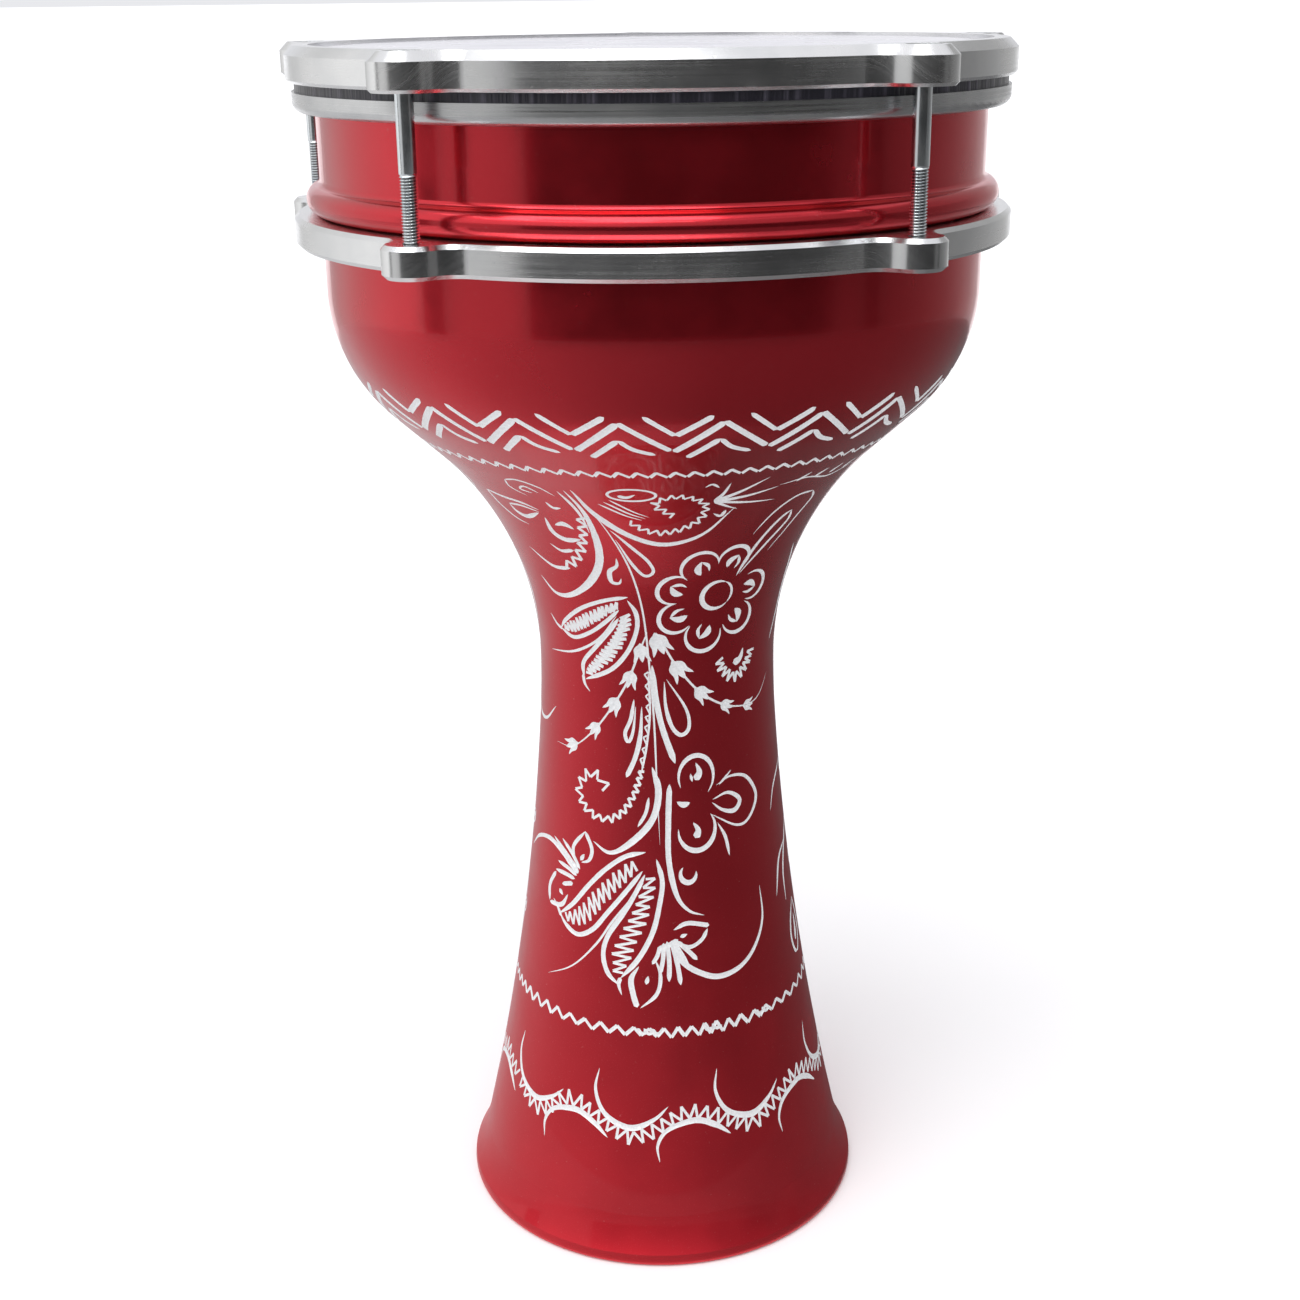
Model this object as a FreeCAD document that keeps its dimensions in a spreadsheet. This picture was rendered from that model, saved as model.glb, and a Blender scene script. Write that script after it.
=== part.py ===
import FreeCAD, Part
import math
import os
import Sketcher

# A goblet drum with a bolted head: a red lacquered aluminium shell, a plastic head set in an
# aluminium flesh hoop, a lobed tension ring that presses on the hoop, a lobed anchor ring under
# the shell's bead, and socket screws that draw the two rings together.
# Origin: centre of the foot's resting face. +Z up. One lobe points along +Y.

LUGS = 5

# Driving dimensions in millimetres and degrees.
DIMENSIONS = {
    # shell
    "wall": 2.5,
    "foot_radius": 70,
    "foot_roll": 1.8,
    "foot_rim_curve": 10,
    "foot_crease_radius": 66.3,
    "foot_crease_height": 9.6,
    "foot_inner_drop": 0.6,
    "flare_curve": 1013,
    "flare_top_slope": 4,
    "neck_radius": 39.6,
    "neck_height": 200,
    "neck_curve": 330,
    "bowl_lower_curve": 102,
    "bowl_upper_curve": 50,
    "bowl_slope": 47,
    "collar_radius": 102,
    "bead_height": 352.3,
    "bead_curve": 4.3,
    "bead_cove": 2,
    "edge_height": 394.9,
    "edge_curve": 5,
    # head
    "film_thick": 0.25,
    "film_gap": 0.25,
    "skirt_slope": 14,
    "skirt_foot": 382.4,
    "hoop_inner": 102.7,
    "hoop_outer": 108.5,
    "hoop_wall": 1,
    "hoop_bottom": 377.6,
    "hoop_lip": 383.4,
    "resin_outer": 107.6,
    # tension ring
    "ring_radius": 110,
    "ring_bore": 102.8,
    "ring_bore_foot": 104.4,
    "ring_cone_top": 391.5,
    "ring_bottom": 386.1,
    "ring_top": 396.4,
    "ring_chamfer": 2.6,
    "ring_bevel": 0.9,
    "ring_lobe": 9.4,
    # anchor ring
    "anchor_radius": 110.2,
    "anchor_bore": 102.4,
    "anchor_bottom": 338.95,
    "anchor_top": 347.95,
    "anchor_bevel": 1.2,
    "anchor_lobe": 8.4,
    # lobes and screws
    "lobe_fillet": 8,
    "lobe_root": 4,
    "lug_circle": 114,
    "screw_radius": 2.5,
    "screw_length": 50,
    "screw_tip": 0.6,
    "head_radius": 4.25,
    "head_height": 5,
    "head_round": 0.4,
    "socket_flats": 4,
    "socket_depth": 2.5,
    "head_sink": 0.4,
    "washer_radius": 4.5,
    "washer_hole": 2.65,
    "washer_thick": 1,
    "recess_radius": 5,
    "clearance_radius": 2.75,
    "tapped_radius": 2.55,
}

doc = FreeCAD.newDocument("goblet_drum")
sheet = doc.addObject("Spreadsheet::Sheet", "Dims")
for row, (alias, size) in enumerate(DIMENSIONS.items(), start=1):
    sheet.set(f"A{row}", alias)
    sheet.set(f"B{row}", str(size))
    sheet.setAlias(f"B{row}", alias)
doc.recompute()

PARTS = {}


def bound(text):
    """The text with each dimension's name turned into a reference to its cell."""
    for alias in sorted(DIMENSIONS, key=len, reverse=True):
        text = text.replace(f"[{alias}]", f"Dims.{alias}")
    return text


def number(text):
    """What an expression on the dimensions comes to."""
    found = sheet.evalExpression(bound(text))
    return float(getattr(found, "Value", found))


def bind(target, prop, text):
    target.setExpression(prop, bound(text))


def new_body(label):
    body = doc.addObject("PartDesign::Body", label)
    body.Label = label
    PARTS[label] = body
    return body


def new_sketch(body, role, name, lift=None):
    """A sketch on one of the body's own origin planes, raised along its normal by lift."""
    sketch = body.newObject("Sketcher::SketchObject", f"{body.Name}_{name}")
    plane = [f for f in body.Origin.OriginFeatures if f.Role == role][0]
    sketch.AttachmentSupport = [(plane, "")]
    sketch.MapMode = "FlatFace"
    if lift:
        bind(sketch, "AttachmentOffset.Base.z", lift)
    return sketch


def pin_down(sketch, geometry, end, x, y, tag):
    """Ties one end of a line or arc to a point given by two expressions."""
    for axis, kind, text in ((-2, "DistanceX", x), (-1, "DistanceY", y)):
        at = number(text)
        if abs(at) < 1e-9:
            sketch.addConstraint(Sketcher.Constraint("PointOnObject", geometry, end, axis))
            continue
        index = sketch.addConstraint(
            Sketcher.Constraint(kind, -1, 1, geometry, end, at)
        )
        sketch.renameConstraint(index, f"{tag}_{kind[-1].lower()}")
        bind(sketch, f"Constraints.{tag}_{kind[-1].lower()}", text)


def arc_between(start, end, radius, turn):
    """The short arc from start to end. turn is 1 counterclockwise, -1 clockwise."""
    chord = end.sub(start)
    middle = start.add(chord.multiply(0.5))
    half = end.sub(start).Length / 2
    side = FreeCAD.Vector(0, 0, turn).cross(end.sub(start)).normalize()
    centre = middle.add(side.multiply(math.sqrt(max(radius**2 - half**2, 0))))
    circle = Part.Circle(centre, FreeCAD.Vector(0, 0, 1), radius)
    first, last = (circle.parameter(start), circle.parameter(end))
    if turn < 0:
        first, last = last, first
    if last < first:
        last += 2 * math.pi
    return Part.ArcOfCircle(circle, first, last)


def outline(sketch, steps):
    """A closed outline. Each step is (x, y), and (x, y, radius, turn) starts an arc."""
    points = [FreeCAD.Vector(number(s[0]), number(s[1]), 0) for s in steps]
    ends = []
    for i, step in enumerate(steps):
        start, end = points[i], points[(i + 1) % len(steps)]
        if len(step) == 2:
            index = sketch.addGeometry(Part.LineSegment(start, end))
            ends.append((index, 1, 2))
        else:
            arc = arc_between(start, end, number(step[2]), step[3])
            index = sketch.addGeometry(arc)
            ends.append((index, 1, 2) if step[3] > 0 else (index, 2, 1))
    for i, (index, _, last) in enumerate(ends):
        after, joined, _ = ends[(i + 1) % len(ends)]
        sketch.addConstraint(Sketcher.Constraint("Coincident", index, last, after, joined))
    for i, (index, first, _) in enumerate(ends):
        pin_down(sketch, index, first, steps[i][0], steps[i][1], f"p{i}")
        if len(steps[i]) == 4:
            radius = Sketcher.Constraint("Radius", index, number(steps[i][2]))
            sketch.renameConstraint(sketch.addConstraint(radius), f"r{i}")
            bind(sketch, f"Constraints.r{i}", steps[i][2])
    return sketch


def circle_at(sketch, x, y, radius, tag):
    centre = FreeCAD.Vector(number(x), number(y), 0)
    circle = Part.Circle(centre, FreeCAD.Vector(0, 0, 1), number(radius))
    index = sketch.addGeometry(circle)
    pin_down(sketch, index, 3, x, y, tag)
    size = sketch.addConstraint(Sketcher.Constraint("Radius", index, number(radius)))
    sketch.renameConstraint(size, f"{tag}_r")
    bind(sketch, f"Constraints.{tag}_r", radius)


def revolve(body, steps):
    """A solid of revolution about Z from its half section in X and Z."""
    sketch = outline(new_sketch(body, "XZ_Plane", "section"), steps)
    turned = body.newObject("PartDesign::Revolution", f"{body.Name}_turned")
    turned.Profile = sketch
    turned.ReferenceAxis = (sketch, ["V_Axis"])
    turned.Angle = 360
    sketch.Visibility = False
    doc.recompute()
    return turned


def pad(body, sketch, name, length):
    feature = body.newObject("PartDesign::Pad", f"{body.Name}_{name}")
    feature.Profile = sketch
    bind(feature, "Length", length)
    doc.recompute()
    return feature


def pocket(body, sketch, name, depth):
    """Cuts downwards from the sketch, and stops if that removes nothing."""
    before = body.Shape.Volume
    feature = body.newObject("PartDesign::Pocket", f"{body.Name}_{name}")
    feature.Profile = sketch
    bind(feature, "Length", depth)
    doc.recompute()
    if body.Shape.Volume > before - 1:
        raise SystemExit(f"{feature.Name} cuts nothing")
    return feature


def repeat_round(body, features):
    """Repeats features LUGS times about Z."""
    pattern = body.newObject("PartDesign::PolarPattern", f"{body.Name}_lobes")
    pattern.Originals = features
    axis = [f for f in body.Origin.OriginFeatures if f.Role == "Z_Axis"][0]
    pattern.Axis = (axis, [""])
    pattern.Angle = 360
    pattern.Occurrences = LUGS
    body.Tip = pattern
    doc.recompute()
    return pattern


def rim_edges(feature, height, radius, hole):
    """The edges of the lobed outer outline that lie at a height."""
    names = []
    for i, edge in enumerate(feature.Shape.Edges, start=1):
        box = edge.BoundBox
        flat = abs(box.ZMin - height) < 1e-4 and abs(box.ZMax - height) < 1e-4
        middle = edge.valueAt((edge.FirstParameter + edge.LastParameter) / 2)
        outer = math.hypot(middle.x, middle.y) > radius - 0.01
        small = hasattr(edge.Curve, "Radius") and edge.Curve.Radius < hole + 0.01
        if flat and outer and not small:
            names.append(f"Edge{i}")
    return names


def lobe(body, ring_radius, lobe_radius, bottom, top):
    """One lobe on the +Y side: a round end with hollow flanks that run into the ring.

    The flank's centre is lobe_fillet off both the ring's circle and the lobe's circle, so the
    angle at the ring's centre between it and the lobe's centre comes from their three distances.
    """
    far = f"({ring_radius} + [lobe_fillet])"
    near = f"({lobe_radius} + [lobe_fillet])"
    reach = "[lug_circle]"
    swing = f"acos(({far}^2 + {reach}^2 - {near}^2) / (2 * {far} * {reach}))"
    flank_x = f"{far} * sin({swing})"
    flank_y = f"{far} * cos({swing})"
    on_ring_x = f"{ring_radius} * sin({swing})"
    on_ring_y = f"{ring_radius} * cos({swing})"
    on_lobe_x = f"{flank_x} * {lobe_radius} / {near}"
    on_lobe_y = f"{reach} + ({flank_y} - {reach}) * {lobe_radius} / {near}"
    root = f"({ring_radius} - [lobe_root])"
    steps = [
        (f"{on_ring_x}", f"{on_ring_y}", "[lobe_fillet]", -1),
        (f"{on_lobe_x}", f"{on_lobe_y}", lobe_radius, 1),
        (f"-({on_lobe_x})", f"{on_lobe_y}", "[lobe_fillet]", -1),
        (f"-({on_ring_x})", f"{on_ring_y}"),
        (f"-{root} * sin({swing})", f"{root} * cos({swing})"),
        (f"{root} * sin({swing})", f"{root} * cos({swing})"),
    ]
    sketch = outline(new_sketch(body, "XY_Plane", "lobe", bottom), steps)
    return pad(body, sketch, "lobe_pad", f"{top} - {bottom}")


def lug_hole(body, name, top, radius, depth):
    sketch = new_sketch(body, "XY_Plane", name, top)
    circle_at(sketch, "0", "[lug_circle]", radius, "hole")
    return pocket(body, sketch, f"{name}_cut", depth)


def dress(body, name, feature, height, ring_radius, hole, size):
    """A chamfer along the lobed outline at a height."""
    edges = rim_edges(feature, number(height), number(ring_radius), number(hole))
    dressed = body.newObject("PartDesign::Chamfer", f"{body.Name}_{name}")
    dressed.Base = (feature, edges)
    bind(dressed, "Size", size)
    body.Tip = dressed
    doc.recompute()
    return dressed


# Points of the shell's section where its curves meet, with the wall's inner side beside them.
FLARE_TOP = (
    "[neck_radius] + [neck_curve] * (1 - cos([flare_top_slope]))",
    "[neck_height] - [neck_curve] * sin([flare_top_slope])",
)
FLARE_TOP_INNER = (
    FLARE_TOP[0] + " - [wall] * cos([flare_top_slope])",
    FLARE_TOP[1] + " - [wall] * sin([flare_top_slope])",
)
BOWL_LOW = (
    "[neck_radius] + [bowl_lower_curve] * (1 - cos([bowl_slope]))",
    "[neck_height] + [bowl_lower_curve] * sin([bowl_slope])",
)
BOWL_HIGH = (
    "[collar_radius] - [bowl_upper_curve] * (1 - cos([bowl_slope]))",
    f"{BOWL_LOW[1]} + ([collar_radius] - [neck_radius] - ([bowl_upper_curve]"
    " + [bowl_lower_curve]) * (1 - cos([bowl_slope]))) / tan([bowl_slope])",
)
BOWL_TOP = (
    "[collar_radius]",
    f"{BOWL_HIGH[1]} + [bowl_upper_curve] * sin([bowl_slope])",
)
INWARD = (" - [wall] * cos([bowl_slope])", " + [wall] * sin([bowl_slope])")

# The bead's top runs into the collar by a small hollow curve, tangent to both.
COVE_RISE = "sqrt(([bead_curve] + [bead_cove]) ^ 2 - [bead_cove] ^ 2)"
COVE_SHARE = "[bead_curve] / ([bead_curve] + [bead_cove])"
COVE_FOOT = (
    f"[collar_radius] + [bead_cove] * {COVE_SHARE}",
    f"[bead_height] + {COVE_RISE} * {COVE_SHARE}",
)


def make_shell():
    """Foot with a rolled rim, flared neck, round bowl, collar with a bead, and bearing edge."""
    body = new_body("shell")
    land = "[foot_radius] - [foot_roll]"
    edge_x = "[collar_radius] - [edge_curve]"
    edge_z = "[edge_height] - [edge_curve]"
    revolve(
        body,
        [
            (land, "0", "[foot_roll]", 1),
            ("[foot_radius]", "[foot_roll]", "[foot_rim_curve]", 1),
            ("[foot_crease_radius]", "[foot_crease_height]", "[flare_curve]", -1),
            (*FLARE_TOP, "[neck_curve]", -1),
            ("[neck_radius]", "[neck_height]", "[bowl_lower_curve]", -1),
            BOWL_LOW,
            (*BOWL_HIGH, "[bowl_upper_curve]", 1),
            BOWL_TOP,
            ("[collar_radius]", "[bead_height] - [bead_curve]", "[bead_curve]", 1),
            ("[collar_radius] + [bead_curve]", "[bead_height]", "[bead_curve]", 1),
            (*COVE_FOOT, "[bead_cove]", -1),
            ("[collar_radius]", f"[bead_height] + {COVE_RISE}"),
            ("[collar_radius]", edge_z, "[edge_curve]", 1),
            (edge_x, "[edge_height]"),
            (edge_x, "[edge_height] - [wall]", "[edge_curve] - [wall]", -1),
            ("[collar_radius] - [wall]", edge_z),
            ("[collar_radius] - [wall]", BOWL_TOP[1], "[bowl_upper_curve] - [wall]", -1),
            (BOWL_HIGH[0] + INWARD[0], BOWL_HIGH[1] + INWARD[1]),
            (
                BOWL_LOW[0] + INWARD[0],
                BOWL_LOW[1] + INWARD[1],
                "[bowl_lower_curve] + [wall]",
                1,
            ),
            ("[neck_radius] - [wall]", "[neck_height]", "[neck_curve] + [wall]", 1),
            (*FLARE_TOP_INNER, "[flare_curve] + [wall]", 1),
            ("[foot_crease_radius] - [wall]", "[foot_crease_height] - [foot_inner_drop]"),
            ("[foot_radius] - 3 * [foot_roll]", "[foot_roll]", "[foot_roll]", 1),
            (f"{land} - [foot_roll]", "0"),
        ],
    )


SKIRT_X = "[collar_radius] - [edge_curve]"
SKIRT_Z = "[edge_height] - [edge_curve]"
FILM_INSIDE = "([edge_curve] + [film_gap])"
FILM_OUTSIDE = "([edge_curve] + [film_gap] + [film_thick])"


def skirt_radius(height, face):
    """Radius of the head's slanted skirt at a height, on its inner or outer face."""
    return (
        f"{SKIRT_X} + {face} / cos([skirt_slope])"
        f" + ({SKIRT_Z} - ({height})) * tan([skirt_slope])"
    )


def make_head_film():
    """A clear plastic head: flat, turned over the bearing edge, with a skirt into the hoop."""
    body = new_body("head_film")
    tops = {}
    for face in (FILM_INSIDE, FILM_OUTSIDE):
        tops[face] = (
            f"{SKIRT_X} + {face} * cos([skirt_slope])",
            f"{SKIRT_Z} + {face} * sin([skirt_slope])",
        )
    foot = "[skirt_foot]"
    revolve(
        body,
        [
            ("0", f"{SKIRT_Z} + {FILM_INSIDE}"),
            (SKIRT_X, f"{SKIRT_Z} + {FILM_INSIDE}", FILM_INSIDE, -1),
            tops[FILM_INSIDE],
            (skirt_radius(foot, FILM_INSIDE), foot),
            (skirt_radius(foot, FILM_OUTSIDE), foot),
            (*tops[FILM_OUTSIDE], FILM_OUTSIDE, 1),
            (SKIRT_X, f"{SKIRT_Z} + {FILM_OUTSIDE}"),
            ("0", f"{SKIRT_Z} + {FILM_OUTSIDE}"),
        ],
    )


HOOP_ROUND = "([hoop_outer] - [hoop_inner]) / 2"
HOOP_MIDDLE = "([hoop_outer] + [hoop_inner]) / 2"
HOOP_FLOOR = f"[hoop_bottom] + {HOOP_ROUND}"
CHANNEL_ROUND = f"{HOOP_ROUND} - [hoop_wall]"


def make_flesh_hoop():
    """A rolled aluminium channel with a round bottom, open upwards."""
    body = new_body("flesh_hoop")
    revolve(
        body,
        [
            ("[hoop_inner]", HOOP_FLOOR, HOOP_ROUND, 1),
            (HOOP_MIDDLE, "[hoop_bottom]", HOOP_ROUND, 1),
            ("[hoop_outer]", HOOP_FLOOR),
            ("[hoop_outer]", "[hoop_lip]"),
            ("[hoop_outer] - [hoop_wall]", "[hoop_lip]"),
            ("[hoop_outer] - [hoop_wall]", HOOP_FLOOR, CHANNEL_ROUND, -1),
            (HOOP_MIDDLE, "[hoop_bottom] + [hoop_wall]", CHANNEL_ROUND, -1),
            ("[hoop_inner] + [hoop_wall]", HOOP_FLOOR),
            ("[hoop_inner] + [hoop_wall]", "[skirt_foot]"),
            ("[hoop_inner]", "[skirt_foot]"),
        ],
    )


def make_hoop_resin():
    """The resin that fills the channel and grips the head's skirt, up to the tension ring."""
    body = new_body("hoop_resin")
    foot, top = "[skirt_foot]", "[ring_bottom]"
    revolve(
        body,
        [
            ("[hoop_inner] + [hoop_wall]", HOOP_FLOOR, CHANNEL_ROUND, 1),
            (HOOP_MIDDLE, "[hoop_bottom] + [hoop_wall]", CHANNEL_ROUND, 1),
            ("[hoop_outer] - [hoop_wall]", HOOP_FLOOR),
            ("[hoop_outer] - [hoop_wall]", "[hoop_lip]"),
            ("[resin_outer]", "[hoop_lip]"),
            ("[resin_outer]", top),
            (skirt_radius(top, FILM_OUTSIDE), top),
            (skirt_radius(foot, FILM_OUTSIDE), foot),
            ("[hoop_inner] + [hoop_wall]", foot),
        ],
    )


def make_tension_ring():
    """The lobed upper ring: a cone bore clears the head, and each lobe sinks a screw's head."""
    body = new_body("tension_ring")
    bottom, top = "[ring_bottom]", "[ring_top]"
    revolve(
        body,
        [
            ("[ring_bore_foot]", bottom),
            ("[ring_radius]", bottom),
            ("[ring_radius]", top),
            ("[ring_bore]", top),
            ("[ring_bore]", "[ring_cone_top]"),
        ],
    )
    recess = "[head_sink] + [head_height] + [washer_thick]"
    features = [
        lobe(body, "[ring_radius]", "[ring_lobe]", bottom, top),
        lug_hole(body, "recess", top, "[recess_radius]", recess),
        lug_hole(body, "hole", top, "[clearance_radius]", f"{top} - {bottom}"),
    ]
    lobed = repeat_round(body, features)
    for name, height, size in (
        ("chamfer", top, "[ring_chamfer]"),
        ("bevel", bottom, "[ring_bevel]"),
    ):
        lobed = dress(
            body, name, lobed, height, "[ring_radius]", "[recess_radius]", size
        )


def make_anchor_ring():
    """The lobed lower ring under the bead, tapped for the screws."""
    body = new_body("anchor_ring")
    bottom, top = "[anchor_bottom]", "[anchor_top]"
    revolve(
        body,
        [
            ("[anchor_bore]", bottom),
            ("[anchor_radius]", bottom),
            ("[anchor_radius]", top),
            ("[anchor_bore]", top),
        ],
    )
    features = [
        lobe(body, "[anchor_radius]", "[anchor_lobe]", bottom, top),
        lug_hole(body, "tapping", top, "[tapped_radius]", f"{top} - {bottom}"),
    ]
    lobed = repeat_round(body, features)
    for name, height in (("top_bevel", top), ("bottom_bevel", bottom)):
        lobed = dress(
            body, name, lobed, height, "[anchor_radius]", "[tapped_radius]", "[anchor_bevel]"
        )


def stand_on_lug(body, lug, height):
    """Puts a piece that is modelled on the Z axis on its lug's screw line."""
    angle = 90 + 360 * lug / LUGS
    bind(body, "Placement.Base.x", f"[lug_circle] * cos({angle})")
    bind(body, "Placement.Base.y", f"[lug_circle] * sin({angle})")
    bind(body, "Placement.Base.z", height)


def make_screw(lug):
    """A socket head screw, with its origin under its head."""
    body = new_body(f"tension_screw_{lug + 1}")
    tip = "[screw_tip]"
    revolve(
        body,
        [
            ("0", "-[screw_length]"),
            (f"[screw_radius] - {tip}", "-[screw_length]"),
            ("[screw_radius]", f"{tip} - [screw_length]"),
            ("[screw_radius]", "0"),
            ("[head_radius]", "0"),
            ("[head_radius]", "[head_height] - [head_round]", "[head_round]", 1),
            ("[head_radius] - [head_round]", "[head_height]"),
            ("0", "[head_height]"),
        ],
    )
    sketch = new_sketch(body, "XY_Plane", "socket", "[head_height]")
    corner = "[socket_flats] / 2 / cos(30)"
    hexagon = [
        (f"{corner} * cos({60 * i + 30})", f"{corner} * sin({60 * i + 30})") for i in range(6)
    ]
    pocket(body, outline(sketch, hexagon), "socket_cut", "[socket_depth]")
    stand_on_lug(body, lug, "[ring_top] - [head_sink] - [head_height]")


def make_washer(lug):
    """A plain washer between a screw's head and the floor of its recess."""
    body = new_body(f"screw_washer_{lug + 1}")
    sketch = new_sketch(body, "XY_Plane", "disc")
    circle_at(sketch, "0", "0", "[washer_radius]", "rim")
    circle_at(sketch, "0", "0", "[washer_hole]", "hole")
    pad(body, sketch, "plate", "[washer_thick]")
    stand_on_lug(body, lug, "[ring_top] - [head_sink] - [head_height] - [washer_thick]")


make_shell()
make_head_film()
make_flesh_hoop()
make_hoop_resin()
make_tension_ring()
make_anchor_ring()
for lug in range(LUGS):
    make_screw(lug)
    make_washer(lug)
doc.recompute()

failed = [o.Name for o in doc.Objects if {"Invalid", "Error"} & set(o.State)]
for label, part in PARTS.items():
    shape = part.Shape
    if shape.isNull() or not shape.isValid() or len(shape.Solids) != 1:
        failed.append(label)
if failed:
    raise SystemExit(f"these objects failed: {failed}")

os.makedirs("parts", exist_ok=True)
for label, part in PARTS.items():
    part.Shape.exportStep(f"parts/{label}.step")
    box = part.Shape.optimalBoundingBox(False, False)
    print(
        f"{label:18s} {part.Shape.Volume / 1000:9.2f} cm3"
        f"  x {box.XMin:8.2f} {box.XMax:8.2f}  y {box.YMin:8.2f} {box.YMax:8.2f}"
        f"  z {box.ZMin:8.2f} {box.ZMax:8.2f}"
    )
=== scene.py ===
import random
from itertools import pairwise
from math import asin, atan2, cos, hypot, pi, radians, sin, sqrt, tan

import bpy
import numpy as np
from mathutils import Matrix, Vector, kdtree
from mathutils.geometry import delaunay_2d_cdt


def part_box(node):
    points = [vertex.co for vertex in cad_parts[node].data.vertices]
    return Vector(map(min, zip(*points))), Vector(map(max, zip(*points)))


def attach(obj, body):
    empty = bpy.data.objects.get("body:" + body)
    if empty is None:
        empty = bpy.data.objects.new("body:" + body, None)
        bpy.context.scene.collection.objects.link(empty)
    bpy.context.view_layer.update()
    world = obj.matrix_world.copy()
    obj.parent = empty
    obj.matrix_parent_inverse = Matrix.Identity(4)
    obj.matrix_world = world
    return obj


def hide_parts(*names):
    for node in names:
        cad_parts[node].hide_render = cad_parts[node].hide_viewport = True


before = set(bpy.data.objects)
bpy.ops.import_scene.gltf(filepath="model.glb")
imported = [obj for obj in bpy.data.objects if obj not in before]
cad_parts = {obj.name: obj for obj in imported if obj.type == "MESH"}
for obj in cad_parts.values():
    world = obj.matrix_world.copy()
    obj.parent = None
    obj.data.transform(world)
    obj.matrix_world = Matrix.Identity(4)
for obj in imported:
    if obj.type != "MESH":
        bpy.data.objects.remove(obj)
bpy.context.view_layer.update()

# The drum is drawn in millimetres and written to Blender in metres.
MM = 0.001
TURN = 2 * pi
LUGS = sum(name.startswith("tension_screw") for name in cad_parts)
COLUMNS = 180  # points round a lathed piece


def box_mm(node):
    """A CAD node's lowest and highest corner in millimetres."""
    return [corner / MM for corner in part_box(node)]


# -------- meshes


def make_object(name, points, faces, material, normals=None, smooth=True):
    """A mesh object from points in millimetres. normals holds one per face corner."""
    mesh = bpy.data.meshes.new(name)
    mesh.from_pydata([Vector(p) * MM for p in points], [], faces)
    mesh.validate()
    mesh.polygons.foreach_set("use_smooth", [smooth] * len(mesh.polygons))
    if normals is not None:
        mesh.normals_split_custom_set(normals)
    mesh.materials.append(material)
    mesh.update()
    obj = bpy.data.objects.new(name, mesh)
    bpy.context.scene.collection.objects.link(obj)
    return obj


def trace(steps, turn_step=radians(6), line_step=6.0):
    """Points and normals along a section, from steps (r, z) or (r, z, radius, turn).

    A step with four values starts an arc to the next step, counterclockwise where turn is 1.
    The normal is on the right of the direction of travel. Each span is (start, end, normals).
    """
    spans = []
    for here, there in pairwise(steps):
        start, end = Vector(here[:2]), Vector(there[:2])
        chord = end - start
        if len(here) == 2:
            side = Vector((chord.y, -chord.x)).normalized()
            count = max(1, round(chord.length / line_step))
            marks = [start + chord * i / count for i in range(count + 1)]
            spans += [(a, b, side, side) for a, b in pairwise(marks)]
            continue
        radius, turn = here[2:]
        half = chord.length / 2
        left = Vector((-chord.y, chord.x)).normalized() * turn
        centre = start + chord / 2 + left * sqrt(max(radius**2 - half**2, 0))
        first = atan2(start.y - centre.y, start.x - centre.x)
        sweep = 2 * asin(min(1, half / radius)) * turn
        count = max(2, round(abs(sweep) / turn_step), round(abs(sweep) * radius / line_step))
        rays = [
            Vector((cos(first + sweep * i / count), sin(first + sweep * i / count)))
            for i in range(count + 1)
        ]
        spans += [
            (centre + a * radius, centre + b * radius, a * turn, b * turn)
            for a, b in pairwise(rays)
        ]
    return spans


def ring_point(r, z, angle):
    """Angle 0 is the front, towards -Y, and it grows towards +X."""
    return Vector((r * sin(angle), -r * cos(angle), z))


def lathe(name, spans, material):
    """Turns spans about Z, with exact normals."""
    points, faces, normals = [], [], []
    angles = [TURN * i / COLUMNS for i in range(COLUMNS)]
    rows, row_of = [], {}

    def row(p):
        key = (round(p.x, 5), round(p.y, 5))
        if key not in row_of:
            row_of[key] = len(rows)
            rows.append(key)
            points.extend(ring_point(p.x, p.y, a) for a in angles)
        return row_of[key] * COLUMNS

    for start, end, before, after in spans:
        low, high = row(start), row(end)
        for i in range(COLUMNS):
            j = (i + 1) % COLUMNS
            faces.append([low + i, low + j, high + j, high + i])
            corners = ((before, i), (before, j), (after, j), (after, i))
            normals += [ring_point(normal.x, normal.y, angles[k]) for normal, k in corners]
    return make_object(name, points, faces, material, normals)


# -------- materials


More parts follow.
